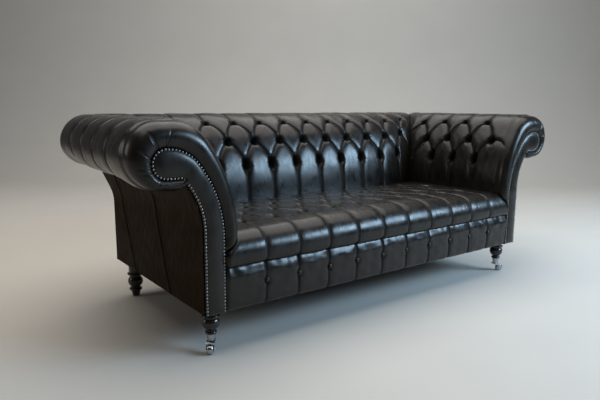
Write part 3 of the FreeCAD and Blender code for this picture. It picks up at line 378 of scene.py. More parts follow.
@dataclass(frozen=True)
class Cloth:
    """Thin woven cloth."""

    name: str
    colour: Triple
    thread: float = 0.0012

    def build(self) -> bpy.types.Material:
        """The finished material."""
        sheet = NodeSheet(self.name)
        faded = tuple(min(1.0, part * 1.5 + 0.01) for part in self.colour)
        waves = []
        for turn in (0.0, math.pi / 2):
            coordinates = sheet.add("ShaderNodeTexCoord")
            mapping = sheet.add("ShaderNodeMapping")
            mapping.inputs["Rotation"].default_value = (0.0, 0.0, turn)
            wave = sheet.add("ShaderNodeTexWave", Scale=0.314 / self.thread, Distortion=0.4)
            sheet.link(coordinates.outputs["Object"], mapping.inputs["Vector"])
            sheet.link(mapping.outputs["Vector"], wave.inputs["Vector"])
            waves.append(wave.outputs["Fac"])
        weave = sheet.maths("MULTIPLY", waves[0], waves[1])
        fade = sheet.weighed(weave, 0.5, sheet.noise(12.0), 0.5)
        sheet.drive(sheet.blend(fade, self.colour, faded), "Base Color")
        sheet.level(Roughness=0.92)
        sheet.bump(weave, 0.5, 0.0004)
        return sheet.material


@dataclass(frozen=True)
class PlainWood:
    """Planed frame timber with a straight grain."""

    name: str
    light: Triple
    dark: Triple

    def build(self) -> bpy.types.Material:
        """The finished material."""
        sheet = NodeSheet(self.name)
        grain = sheet.noise(14.0, 8.0, (1.0, 12.0, 12.0))
        fleck = sheet.noise(220.0, 2.0, (0.3, 2.0, 2.0))
        colour = sheet.blend(sheet.spread(grain, 0.3, 0.7, 0.0, 1.0), self.light, self.dark)
        colour = sheet.blend(sheet.spread(fleck, 0.58, 0.7, 0.0, 0.5), colour, self.dark)
        sheet.drive(colour, "Base Color")
        sheet.level(Roughness=0.62)
        sheet.bump(grain, 0.2, 0.0006)
        return sheet.material


class Palette:
    """All finishes, each built once."""

    def __init__(self) -> None:
        """Build the finishes."""
        self.leather = Leather().build()
        self.panel_leather = Leather(
            "panel_leather", (0.008, 0.0046, 0.0018), (0.0185, 0.0104, 0.0036), (0.0215, 0.0122, 0.0044),
            0.60, 0.04, 0.0, True).build()
        self.lacquer = Lacquer().build()
        self.chrome = Metal("castor_chrome", (0.46, 0.47, 0.49), (0.20, 0.19, 0.18), 0.10).build()
        self.pewter = Metal("pewter_nails", (0.22, 0.215, 0.205), (0.04, 0.036, 0.032), 0.26, 0.8).build()
        self.steel = Metal("plain_steel", (0.55, 0.56, 0.57), (0.25, 0.24, 0.23), 0.3).build()
        self.base_cloth = Cloth("black_base_cloth", (0.012, 0.012, 0.013)).build()
        self.webbing = Cloth("jute_webbing", (0.42, 0.31, 0.19), 0.002).build()
        self.padding = Cloth("cream_wadding", (0.62, 0.58, 0.48), 0.003).build()
        self.beech = PlainWood("frame_beech", (0.58, 0.40, 0.24), (0.42, 0.27, 0.15)).build()
        self.board = PlainWood("fibreboard", (0.26, 0.17, 0.10), (0.19, 0.12, 0.07)).build()


def dress(piece: Piece, material: bpy.types.Material, body: str = "sofa") -> Piece:
    """Give a new piece its finish and the body it rides on."""
    piece.data.materials.clear()
    piece.data.materials.append(material)
    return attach(piece, body)


# Buttoned leather

@dataclass
class Fold:
    """A tuck in the leather, along a path in the sheet's own coordinates."""

    path: Array
    deep: tuple[float, ...]
    reach: tuple[float, ...] = (0.05,)
    line: float = 1.0

    def shape(self) -> tuple[Array, Array]:
        """The depth and the reach at each point of the path, spread evenly along it."""
        along = lengths(self.path) / max(lengths(self.path)[-1], 1e-9)
        return tuple(np.interp(along, np.linspace(0, 1, len(values)), values)
                     for values in (self.deep, self.reach))


def bowed(start: Pair, end: Pair, bow: Pair, count: int = 8) -> Array:
    """A path from start to end whose middle is drawn aside by bow."""
    u = np.linspace(0, 1, count + 1)[:, None]
    a, b = np.array(start), np.array(end)
    control = (a + b) / 2 + np.array(bow) * 2
    return (1 - u) ** 2 * a + 2 * u * (1 - u) * control + u ** 2 * b


@dataclass
class Tufting:
    """Folds and buttons of one leather sheet, and the relief that they give it."""

    folds: list[Fold] = field(default_factory=list)
    buttons: list[Pair] = field(default_factory=list)
    dimple: float = 0.020
    dimple_reach: float = 0.019
    pucker: float = 0.0004
    seed: int = 1
    notch: float = 0.0026
    holes: list[Hole] = field(default_factory=list)

    def relief(self, along: Array, up: Array) -> tuple[Array, Array]:
        """How far each point of the sheet is drawn in, and how near it is to a crease.

        Args:
            along: the first sheet coordinate of each point.
            up: the second.

        Returns:
            The depth in metres, and a mark from 0 to 1 at a crease, which the leather paints as near-black
            shade.
        """
        power = 3.0
        total = np.zeros(along.shape)
        line = np.zeros(along.shape)
        for fold in self.folds:
            deep, reach = fold.shape()
            low = fold.path.min(axis=0) - reach.max()
            high = fold.path.max(axis=0) + reach.max()
            near = (along > low[0]) & (along < high[0]) & (up > low[1]) & (up < high[1])
            if not near.any():
                continue
            s, t = along[near], up[near]
            best = np.full(s.shape, 1e9)
            depth = np.zeros(s.shape)
            width = np.ones(s.shape)
            for n, (a, b) in enumerate(zip(fold.path[:-1], fold.path[1:])):
                way = b - a
                share = np.clip(((s - a[0]) * way[0] + (t - a[1]) * way[1]) / max(way @ way, 1e-12), 0, 1)
                gap = np.hypot(s - a[0] - share * way[0], t - a[1] - share * way[1])
                closer = gap < best
                best = np.where(closer, gap, best)
                depth = np.where(closer, deep[n] + (deep[n + 1] - deep[n]) * share, depth)
                width = np.where(closer, reach[n] + (reach[n + 1] - reach[n]) * share, width)
            rest = 1 - np.clip(best / width, 0, 1)
            total[near] += (depth * (1 - np.sqrt(1 - rest ** 2))) ** power
            # crease mark along the fold, painted as near-black shade by the leather
            mark = fold.line * np.exp(-(best / 0.0038) ** 2) * smooth(depth / 0.003)
            line[near] = np.maximum(line[near], mark)
        drawn = total ** (1 / power) + self.notch * line
        rng = np.random.default_rng(self.seed)
        holes = self.holes or [(self.dimple, self.dimple_reach, self.dimple_reach, 0.0)] * len(self.buttons)
        for (s, t), (sunk, wide, tall, above) in zip(self.buttons, holes):
            gap = np.hypot(along - s, up - t)
            oval = ((along - s) / wide) ** 2 + ((up - t - above) / tall) ** 2
            drawn = drawn + sunk * np.exp(-oval ** 1.3)
            turn = np.arctan2(up - t, along - s)
            spokes = np.cos(turn * rng.integers(7, 11) + rng.uniform(0, 6.28))
            drawn = drawn + self.pucker * spokes * np.exp(-((gap - 0.020) / 0.013) ** 2)
        return np.maximum(drawn, 0.0), line


@dataclass(frozen=True)
class Section:
    """The padded section of an arm or the back, outward from the axis of the rounded rear corner."""

    foot: float
    sweep: float = 0.560
    shoulder_reach: float = 0.044
    neck_angle: float = -129.6
    counts: tuple[int, int, int, int, int, int] = (12, 108, 64, 14, 118, 6)

    def trace(self) -> tuple[Array, Array, Array]:
        """The section's points, outward directions, and distances from the seat up.

        Returns:
            Three arrays with one row for each point.
        """
        down, sweeping, shouldering, level, rolling, tucked = self.counts
        sweep_centre = np.array([self.foot + self.sweep, SEAT_TOP])
        shoulder_u = ROLL_OUT - self.shoulder_reach
        reach, rise = shoulder_u - sweep_centre[0], TOP - SEAT_TOP
        radius = (self.sweep ** 2 - reach ** 2 - rise ** 2) / (2 * (self.sweep - rise))
        shoulder_centre = np.array([shoulder_u, TOP - radius])
        away = shoulder_centre - sweep_centre
        bend = math.degrees(math.atan2(away[1], away[0]))
        roll_centre = (ROLL_OUT, TOP - ROLL_RADIUS)
        hem = np.stack([np.full(down, self.foot), np.linspace(SEAT_TOP - HEM, SEAT_TOP, down)], axis=1)
        parts = [
            (hem, np.tile([-1.0, 0.0], (down, 1))),
            self.round(sweep_centre, self.sweep, 180, bend, sweeping),
            self.round(shoulder_centre, radius, bend, 90, shouldering),
            (np.stack([np.linspace(shoulder_u, ROLL_OUT, level), np.full(level, TOP)], axis=1),
             np.tile([0.0, 1.0], (level, 1))),
            self.round(roll_centre, ROLL_RADIUS, 90, self.neck_angle, rolling),
            self.round(roll_centre, ROLL_RADIUS, self.neck_angle, self.neck_angle - 14, tucked),
        ]
        points = np.concatenate([part[0] if n == 0 else part[0][1:] for n, part in enumerate(parts)])
        normals = np.concatenate([part[1] if n == 0 else part[1][1:] for n, part in enumerate(parts)])
        return points, normals, lengths(points) - HEM

    @staticmethod
    def round(centre: Array, radius: float, start: float, end: float, count: int) -> tuple[Array, Array]:
        """Points of an arc and its outward directions."""
        points = arc(tuple(centre), radius, start, end, count)
        return points, (points - np.array(centre)) / radius

    def turns(self) -> Array:
        """The angle about the roll's centre at each point, 90 up to the roll."""
        down, sweeping, shouldering, level, rolling, tucked = self.counts
        before = down + sweeping + shouldering + level - 4
        return np.concatenate([np.full(before, 90.0), np.linspace(90, self.neck_angle, rolling),
                               np.full(tucked - 1, self.neck_angle)])

    def at_height(self, height: float) -> float:
        """The distance from the seat, along the inner side, to a height."""
        points, _, along = self.trace()
        inner = sum(self.counts[:3]) - 2
        return float(np.interp(height, points[:inner, 1], along[:inner]))


ARM_SECTION = Section(-0.106)
BACK_SECTION = Section(-0.145, neck_angle=-66.4)


@dataclass
class Run:
    """A straight run of padding that ends at the mitre of a rounded rear corner."""

    section: Section
    axis: float
    across: float
    begin: Array
    straight: int
    corner: int
    bend_from: float

    def trace(self) -> dict[str, Array]:
        """The undisturbed surface of the run.

        Returns:
            "place" and "aim" in (along, across, up), "along" and "up" as sheet coordinates, and "left",
            the distance to the mitre.
        """
        own, aim, up = self.section.trace()
        arm, arm_aim, _ = ARM_SECTION.trace()
        back, back_aim, _ = BACK_SECTION.trace()
        shared = (arm + back) / 2
        shared_aim = arm_aim + back_aim
        shared_aim /= np.linalg.norm(shared_aim, axis=1)[:, None]
        stop = self.axis + np.minimum(shared[:, 0], 0.0)
        total = stop + np.maximum(shared[:, 0], 0.0) * math.pi / 4
        u = np.linspace(0, 1, self.straight)[None, :]
        v = np.linspace(0, 1, self.corner + 1)[None, 1:]
        first = self.begin[:, None] + (self.bend_from - self.begin[:, None]) * u
        second = self.bend_from + (total[:, None] - self.bend_from) * v
        gone = np.concatenate([first, second], axis=1)
        weight = smooth((gone - stop[:, None] + 0.2) / 0.2)[..., None]
        flat = own[:, None, :] * (1 - weight) + shared[:, None, :] * weight
        turn_aim = aim[:, None, :] * (1 - weight) + shared_aim[:, None, :] * weight
        turn_aim /= np.linalg.norm(turn_aim, axis=-1)[..., None]
        radius = np.maximum(flat[..., 0], 1e-6)
        angle = np.where(gone > stop[:, None], (gone - stop[:, None]) / radius, 0.0)
        angle = np.minimum(angle, math.pi / 4)
        bent = gone > stop[:, None]
        place = np.stack([
            np.where(bent, self.axis + flat[..., 0] * np.sin(angle), gone),
            self.across + flat[..., 0] * np.where(bent, np.cos(angle), 1.0),
            flat[..., 1],
        ], axis=-1)
        out, rise = turn_aim[..., 0], turn_aim[..., 1]
        way = np.stack([out * np.sin(angle), out * np.cos(angle), rise], axis=-1)
        left = total[:, None] - gone
        seam = np.array([1.0, -1.0, 0.0]) / math.sqrt(2)
        hold = smooth(1 - left / 0.05)[..., None]
        way = way - hold * (way @ seam)[..., None] * seam
        along = np.where(bent, self.axis + angle * ROLL_OUT, gone)
        return {"place": place, "aim": way, "along": along,
                "up": np.broadcast_to(up[:, None], along.shape), "left": left}


@dataclass
class Upholstery:
    """What the arms and the back share: the depth of folds and dimples, and the meeting at the mitre."""

    palette: Palette
    at_button: float = 0.018
    between: float = 0.0085
    mitre: float = 0.016
    mitre_reach: float = 0.055
    fullness: float = 0.0065
    holes: tuple[Hole, ...] = (
        (0.017, 0.0135, 0.0125, 0.002), (0.023, 0.0135, 0.0175, 0.002), (0.026, 0.0125, 0.0270, 0.008))

    def lattice(self, rows: list[list[float]], heights: list[float], pitch: float, edge: float) -> list[Fold]:
        """Diamond folds between three rows of buttons, and pleats from the lowest row to the seat.

        Args:
            rows: the buttons' places along each row, the highest first.
            heights: how high each row lies on the sheet.
            pitch: the buttons' spacing.
            edge: the sheet coordinate of the pleats' lower end.

        Returns:
            The folds.
        """
        folds = []
        for level in range(2):
            for place in rows[level]:
                for other in rows[level + 1]:
                    if abs(abs(place - other) - pitch / 2) < SAME_PLACE:
                        bow = (0.10 * (other - place), 0.013)
                        path = bowed((place, heights[level]), (other, heights[level + 1]), bow)
                        deep = (self.at_button, *(self.between,) * 3, self.at_button)
                        folds.append(Fold(path, deep, (0.040, 0.034, 0.034, 0.034, 0.040)))
        for place in rows[2]:
            folds.append(Fold(bowed((place, heights[2]), (place, edge), (0.0, 0.0)),
                              (self.at_button, 0.009, 0.0065, 0.0055), (0.040, 0.036, 0.034)))
        return folds

    def sheet(self, run: dict[str, Array], tufting: Tufting, seed: int) -> tuple[Array, Array, Array]:
        """Draw the leather in at its folds.

        Args:
            run: a traced run.
            tufting: its folds and buttons.
            seed: for the slight unevenness.

        Returns:
            The drawn places, the relief mark and the crease mark.
        """
        drawn, line = tufting.relief(run["along"], run["up"])
        rest = 1 - np.clip(run["left"] / self.mitre_reach, 0, 1)
        drawn = (drawn ** 3 + (self.mitre * (1 - np.sqrt(1 - rest ** 2))) ** 3) ** (1 / 3)
        # the mitre's crease mark, painted as near-black shade by the leather
        line = np.maximum(line, np.exp(-(run["left"] / 0.003) ** 1.5))
        swell = 0.0010 * ripple(run["place"], 0.13, seed) + 0.0002 * ripple(run["place"], 0.045, seed + 1)
        place = run["place"] + run["aim"] * (self.fullness + swell - drawn)[..., None]
        return place, -drawn / 0.03, line


@dataclass
class Arm(Upholstery):
    """One padded arm with its scroll front."""

    side: Side = Side.RIGHT
    front_rows: tuple[float, ...] = (0.120, -0.015, -0.150, -0.285)
    ring_columns: int = 26
    gathers: tuple[Triple, ...] = (
        (0.556, 0.010, 1.0), (0.572, -0.006, 0.8), (0.636, 0.004, 1.0), (0.705, -0.004, 0.6),
        (0.722, 0.006, 0.5), (0.478, 0.0, 0.4), (0.800, 0.0, 0.5))

    def facing_edge(self) -> Array:
        """The facing's outline opposite each point of the section, outward from the axis and up."""
        down, sweeping, shouldering, level, rolling, tucked = ARM_SECTION.counts
        outline = FacingOutline()
        inner, shoulder, head, under = outline.parts()
        hem = np.stack([np.full(down, inner[0, 0]), np.linspace(SEAT_TOP - HEM, SEAT_TOP, down)], axis=1)
        round_share = 180.0 / (90.0 - ARM_SECTION.neck_angle)
        split = int(round((rolling - 1) * round_share))
        parts = [hem, resample(inner, sweeping)[1:], resample(shoulder, shouldering)[1:],
                 np.repeat(shoulder[-1:], level - 1, axis=0), resample(head, split + 1)[1:],
                 resample(under, rolling - split)[1:], np.repeat(under[-1:], tucked - 1, axis=0)]
        points = np.concatenate(parts)
        return points - np.array([CORNER_X, 0.0])

    def ring_shape(self) -> tuple[Array, Array]:
        """How far in the ridge of the padded front lies, and how deep its rounding is, along the section."""
        down, sweeping, shouldering, level, rolling, tucked = ARM_SECTION.counts
        half_roll = (rolling - 1) // 2
        pieces = (
            (down, 0.44, 0.46, 0.030, 0.032),
            (sweeping - 1, 0.46, 0.56, 0.032, 0.042),
            (shouldering - 1, 0.56, 0.58, 0.042, 0.052),
            (level - 1, 0.58, 0.58, 0.052, 0.054),
            (half_roll, 0.58, 0.72, 0.054, 0.054),
            (rolling - 1 - half_roll, 0.72, 0.45, 0.054, 0.026),
            (tucked - 1, 0.45, 0.45, 0.026, 0.026),
        )
        share = np.concatenate([np.linspace(a, b, n) for n, a, b, _, _ in pieces])
        deep = np.concatenate([np.linspace(c, d, n) for n, _, _, c, d in pieces])
        window = 15
        kernel = np.ones(window) / window
        return tuple(np.convolve(np.pad(values, window // 2, mode="edge"), kernel, mode="valid")
                     for values in (share, deep))

    def tufting(self) -> Tufting:
        """Folds and buttons of this arm."""
        heights = [ARM_SECTION.at_height(z) for z in (0.743, 0.657, 0.555)]
        second = [0.0525, -0.0825, -0.2175, -0.3525]
        rows = [list(self.front_rows), second, [-0.015, -0.150, -0.285]]
        folds = self.lattice(rows, heights, ARM_PITCH, -0.01)
        top, end = 0.51, 0.93
        for place, foot in zip(self.front_rows, (0.105, -0.021, -0.141, -0.271)):
            path = np.array([(place, heights[0]), (place, top), ((place + foot) / 2, 0.66), (foot, end)])
            folds.append(Fold(path, (self.at_button, 0.0085, 0.0050, 0.004, 0.0035), (0.045, 0.034, 0.026)))
        front = second[-1]
        path = np.array([(front, heights[1]), (front - 0.030, heights[1] + 0.006),
                         (front - 0.060, heights[1] - 0.002), (front - 0.095, heights[1] - 0.034)])
        folds.append(Fold(path, (self.at_button, 0.007, 0.0055, 0.0045), (0.036, 0.026, 0.022)))
        for start, stop, bow in (((0.120, heights[0]), (0.19, heights[1] + 0.03), (0.0, 0.01)),
                                 ((0.0525, heights[1]), (0.108, heights[2]), (0.004, 0.012))):
            folds.append(Fold(bowed(start, stop, bow), (self.at_button, 0.012)))
        folds.append(Fold(np.array([(0.262, 0.42), (0.275, 0.6), (0.262, end)]), (0.005, 0.0045), (0.04,)))
        buttons = [(place, height) for row, height in zip(rows, heights) for place in row]
        holes = [hole for row, hole in zip(rows, self.holes) for _ in row]
        return Tufting(folds, buttons, seed=11 + self.side.value, holes=holes)

    def build(self) -> tuple[Piece, Array, Array]:
        """The arm's leather.

        Returns:
            The piece, and the places and aims of its buttons.
        """
        share, deep = self.ring_shape()
        run = Run(ARM_SECTION, CORNER_Y, CORNER_X, FRONT + deep, 165, 96, 0.05).trace()
        run["place"][..., 2] += self.underside(run["along"])
        tufting = self.tufting()
        place, relief, crease = self.sheet(run, tufting, 40 + self.side.value)
        fade = smooth((run["along"] - FRONT - deep[:, None]) / 0.026)[..., None]
        place = run["place"] * (1 - fade) + place * fade
        relief, crease = relief * fade[..., 0], crease * fade[..., 0]
        ring, ring_relief, ring_crease = self.ring(share, deep)
        place = np.concatenate([ring[:, ::-1], place[:, 1:]], axis=1)
        relief = np.concatenate([ring_relief[:, ::-1], relief[:, 1:]], axis=1)
        crease = np.concatenate([ring_crease[:, ::-1], crease[:, 1:]], axis=1)
        world = np.stack([place[..., 1] * self.side.value, place[..., 0], place[..., 2]], axis=-1)
        faces = grid_faces(*world.shape[:2], flip=self.side is Side.LEFT)
        word = self.side.name.lower()
        piece = make_piece(f"arm_leather_{word}", world, faces, {"relief": relief, "crease": crease})
        dress(piece, self.palette.leather)
        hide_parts(f"arm_cover_{word}", f"arm_padding_{word}", f"arm_buttons_{word}")
        spots, aims = self.button_places(run, tufting, world[:, self.ring_columns - 1:])
        return piece, spots, aims

    @staticmethod
    def underside(along: Array) -> Array:
        """How far the roll's underside is drawn up behind the front, and hangs down at the front."""
        turn = ARM_SECTION.turns()[:, None]
        lift = 0.018 * smooth(-turn / 70) * smooth((along + 0.40) / 0.20) * smooth((0.33 - along) / 0.20)
        drop = 0.017 * smooth((-88 - turn) / 40) * smooth((-0.37 - along) / 0.07)
        return lift - drop

    def ring(self, share: Array, deep: Array) -> tuple[Array, Array, Array]:
        """The padded front round the facing, gathered towards the nails.

        Args:
            share: where the ridge lies between the outer edge and the facing.
            deep: how deep the outer rounding is.

        Returns:
            Places in (along, across, up), relief and crease marks.
        """
        outer, _, up = ARM_SECTION.trace()
        outer[:, 1] += self.underside(np.full((len(outer), 1), FRONT))[:, 0]
        inner = self.facing_edge()
        columns = self.ring_columns
        turn = np.linspace(0, math.pi, columns)[None, :]
        outward = turn <= math.pi / 2
        ridge = outer + (inner - outer) * share[:, None]
        early = np.minimum(turn, math.pi / 2)
        late = np.maximum(turn - math.pi / 2, 0)
        first = outer[:, None] + (ridge - outer)[:, None] * (1 - np.cos(early))[..., None]
        second = ridge[:, None] + (inner - ridge)[:, None] * np.sin(late)[..., None]
        flat = np.where(outward[..., None], first, second)
        along = np.where(outward, FRONT + deep[:, None] * (1 - np.sin(turn)),
                         FRONT + 0.022 * (1 - np.cos(late)))
        near = np.clip(late / (math.pi / 2), 0, 1)
        wave = ripple(np.stack([up, np.full(up.shape, 0.3)], axis=1), 0.013, 7 + self.side.value)[:, None]
        at_head = 0.25 + 0.75 * smooth((up - 0.38) / 0.12) * smooth((0.86 - up) / 0.08)
        along = along + 0.0018 * wave * at_head[:, None] * near * smooth(1.15 - near)
        # the crease mark paints shade into the gathers and into the valley next to the nails
        crease = np.zeros(along.shape)
        for centre, lean, strong in self.gathers:
            line = centre + lean * (1 - turn / math.pi)
            spread = np.exp(-((up[:, None] - line) / 0.0034) ** 2) * smooth((turn - 0.7) / 0.9) * strong
            along = along + 0.0045 * spread
            crease = np.maximum(crease, 0.75 * spread)
        low = np.clip(-up / HEM, 0, 1)[:, None]
        share_out = np.clip((flat[..., 0] + 0.106) / 0.053, 0, 1)
        across = flat[..., 0] + low * (0.0125 * (1 - share_out) + 0.006 * share_out)
        foot = 0.380 - 0.042 * share_out
        height = np.where(low > 0, SEAT_TOP - low * (SEAT_TOP - foot), flat[..., 1])
        along = along + 0.024 * smooth((low - 0.6) / 0.4)
        place = np.stack([along, CORNER_X + across, height], axis=-1)
        return place, np.zeros(along.shape), np.maximum(crease, smooth((near - 0.9) / 0.1) * 0.8)

    def button_places(self, run: dict[str, Array], tufting: Tufting, world: Array) -> tuple[Array, Array]:
        """Where each button sits on the drawn leather, and the way it faces."""
        return sunk_places(run, tufting.buttons, world,
                           lambda aim: np.array([aim[1] * self.side.value, aim[0], aim[2]]))


def resample(path: Array, count: int) -> Array:
    """The same path with a given number of evenly spaced points."""
    along = lengths(path)
    steps = np.linspace(0, along[-1], count)
    return np.stack([np.interp(steps, along, path[:, n]) for n in range(path.shape[1])], axis=1)


def sunk_places(run: dict[str, Array], buttons: list[Pair], world: Array,
                turn: Callable[[Array], Array]) -> tuple[Array, Array]:
    """Where buttons sit on a drawn sheet.

    Args:
        run: the traced run, with its sheet coordinates and aims.
        buttons: sheet coordinates of the buttons.
        world: the drawn places.
        turn: takes an aim to the world's axes.

    Returns:
        Places and aims, one row a button.
    """
    spots, aims = [], []
    for s, t in buttons:
        gap = np.hypot(run["along"] - s, run["up"] - t)
        at = np.unravel_index(np.argmin(gap), gap.shape)
        spots.append(world[at])
        aims.append(turn(run["aim"][at]))
    return np.array(spots), np.array(aims)


@dataclass
class Back(Upholstery):
    """The padded back, between the two mitres."""

    def tufting(self) -> Tufting:
        """Folds and buttons of the back."""
        heights = [BACK_SECTION.at_height(z) for z in (0.745, 0.664, 0.558)]
        high = [PITCH * (n + 0.5) for n in range(-6, 6)]
        middle = [PITCH * n for n in range(-5, 6)]
        low = [PITCH * (n + 0.5) for n in range(-5, 5)]
        folds = self.lattice([high, middle, low], heights, PITCH, -0.01)
        end = 0.80
        for place in high:
            folds.append(Fold(np.array([(place, heights[0]), (place, 0.5), (place, 0.62), (place, end)]),
                              (self.at_button, 0.0085, 0.0065, 0.005, 0.004), (0.045, 0.040, 0.034)))
        corners = ((0.695, heights[1], 0.755, heights[2]), (0.7645, heights[0], 0.81, heights[1] + 0.03))
        for sign in (-1, 1):
            for near, start, far, stop in corners:
                path = bowed((sign * near, start), (sign * far, stop), (0, 0.01))
                folds.append(Fold(path, (self.at_button, 0.008)))
        buttons = [(place, height) for row, height in zip((high, middle, low), heights) for place in row]
        holes = [hole for row, hole in zip((high, middle, low), self.holes) for _ in row]
        return Tufting(folds, buttons, seed=5, holes=holes)

    def build(self) -> tuple[Piece, Array, Array]:
        """The back's leather, with the places and aims of its buttons."""
        begin = np.zeros(len(BACK_SECTION.trace()[0]))
        half = Run(BACK_SECTION, CORNER_X, CORNER_Y, begin, 190, 92, 0.61).trace()
        flip = {"place": half["place"] * np.array([-1, 1, 1]), "aim": half["aim"] * np.array([-1, 1, 1]),
                "along": -half["along"], "up": half["up"], "left": half["left"]}
        run = {key: np.concatenate([flip[key][:, :0:-1], half[key]], axis=1) for key in half}
        tufting = self.tufting()
        place, relief, crease = self.sheet(run, tufting, 60)
        faces = grid_faces(*place.shape[:2], flip=True)
        piece = make_piece("back_leather", place, faces, {"relief": relief, "crease": crease})
        dress(piece, self.palette.leather)
        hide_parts("back_cover", "back_padding", "back_buttons")
        spots, aims = sunk_places(run, tufting.buttons, place, lambda aim: aim)
        return piece, spots, aims


def widened(across: Array, section: Array) -> Array:
    """A section's two columns carried over a grid, behind the grid's first coordinate."""
    columns = (np.broadcast_to(section[:, n:n + 1], across.shape) for n in range(2))
    return np.stack([across, *columns], axis=-1)


@dataclass
class Seat:
    """The fixed seat with its rolled front edge."""

    palette: Palette
    half: float = 0.7837
    rows: tuple[float, ...] = (-0.306, -0.199, -0.091, 0.016)
    rear: float = 0.125
    edge: float = 0.066
    foot: float = 0.301
    top_points: int = 142

    def profile(self) -> Array:
        """The seat's section from the rear over the top and down the front, as (y, z)."""
        top, edge, lip = 0.405, self.edge, 0.026
        count = self.top_points
        line = np.stack([np.linspace(self.rear, FRONT + edge, count), np.full(count, top)], axis=1)
        turn = np.radians(np.linspace(90, 180, 19))
        over = np.stack([FRONT + edge + edge * np.cos(turn), top - edge + edge * np.sin(turn)], axis=1)
        face = np.stack([np.full(9, FRONT), np.linspace(top - edge, self.foot + lip, 9)], axis=1)
        turn = np.radians(np.linspace(180, 270, 12))
        under = np.stack([FRONT + lip + lip * np.cos(turn), self.foot + lip + lip * np.sin(turn)], axis=1)
        tail = np.array([(FRONT + lip + 0.006, 0.3015), (FRONT + lip + 0.014, 0.304)])
        return np.concatenate([line, over[1:], face[1:], under[1:], tail])

    def tufting(self, row_at: list[float], end: float) -> Tufting:
        """Folds and buttons; the second coordinate is the distance from the rear."""
        odd = [PITCH * (n + 0.5) for n in range(-5, 5)]
        even = [PITCH * n for n in range(-4, 5)]
        folds, buttons = [], []
        for level, at in enumerate(row_at):
            places = even if level % 2 else odd
            buttons += [(place, at) for place in places]
            for place in places:
                path = np.array([(place, at - 0.034), (place, at + 0.032)])
                folds.append(Fold(path, (0.003, 0.006, 0.003), (0.012,), 0.8))
            if level:
                for a in (odd if level % 2 else even):
                    for b in places:
                        if abs(abs(a - b) - PITCH / 2) < SAME_PLACE:
                            path = bowed((a, row_at[level - 1]), (b, at), (0, 0))
                            folds.append(Fold(path, (0.0045, 0.0028, 0.0045), (0.036,), 0.3))
        for place in odd:
            path = np.array([(place, row_at[0]), (place, row_at[0] + 0.07), (place, end)])
            folds.append(Fold(path, (0.0055, 0.0055, 0.0050), (0.034,)))
            path = np.array([(place + 0.011, row_at[0] + 0.10), (place + 0.013, end - 0.05)])
            folds.append(Fold(path, (0.0006, 0.0014), (0.008,), 0.0))
        holes = [(0.0085, 0.0125, 0.0230, 0.0)] * len(buttons)
        return Tufting(folds, buttons, pucker=0.0003, seed=21, holes=holes)

    def build(self) -> tuple[Piece, Array, Array]:
        """The seat's leather, with the places and aims of its buttons."""
        line = self.profile()
        along = lengths(line)
        way = np.gradient(line, axis=0)
        way /= np.linalg.norm(way, axis=1)[:, None]
        aim = np.stack([way[:, 1], -way[:, 0]], axis=1)
        across = np.linspace(-self.half, self.half, 393)
        s, t = np.meshgrid(across, along)
        forward, gone = -line[:self.top_points, 0], along[:self.top_points]
        front_at = float(np.interp(-(FRONT + self.edge), forward, gone))
        row_at = [float(np.interp(-y, forward, gone)) for y in self.rows]
        tufting = self.tufting(row_at, along[-1])
        drawn, crease = tufting.relief(s, t)
        base, out = widened(s, line), widened(np.zeros(s.shape), aim)
        crown = 0.018 * (1 - (s / 0.78) ** 2) * smooth((t - 0.02) / 0.25)
        crown = crown * smooth((front_at + 0.09 - t) / 0.13)
        calm = 1 - 0.85 * smooth((t - front_at + 0.05) / 0.05)
        swell = (0.0013 * ripple(base, 0.13, 3) + 0.0003 * ripple(base, 0.05, 4)) * calm + 0.004
        stretch = smooth((t - front_at + 0.02) / 0.05) * smooth((along[-1] - t) / 0.05)
        swell = swell + 0.00016 * stretch * ripple(np.stack([s, t * 0.08], axis=-1), 0.011, 6)
        place = base + out * (swell - drawn)[..., None]
        place[..., 2] += crown
        over = (np.abs(s) - 0.7435) * 0.670 + (place[..., 2] - 0.380) * 0.742
        set_back = 0.030 * smooth(over / 0.012 + 0.35) * smooth((np.abs(s) - 0.731) / 0.010)
        place[..., 1] += set_back * smooth((t - front_at + 0.02) / 0.02)
        place[..., 1] += 0.018 * smooth((np.abs(s) - 0.772) / 0.012) * smooth((t - front_at) / 0.05)
        faces = grid_faces(*s.shape, flip=False)
        piece = make_piece("seat_leather", place, faces, {"relief": -drawn / 0.022, "crease": crease})
        dress(piece, self.palette.leather)
        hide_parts("seat_cover", "seat_foam", "seat_buttons")
        run = {"along": s, "up": t, "aim": out}
        spots, aims = sunk_places(run, tufting.buttons, place, lambda a: a)
        return piece, spots, aims


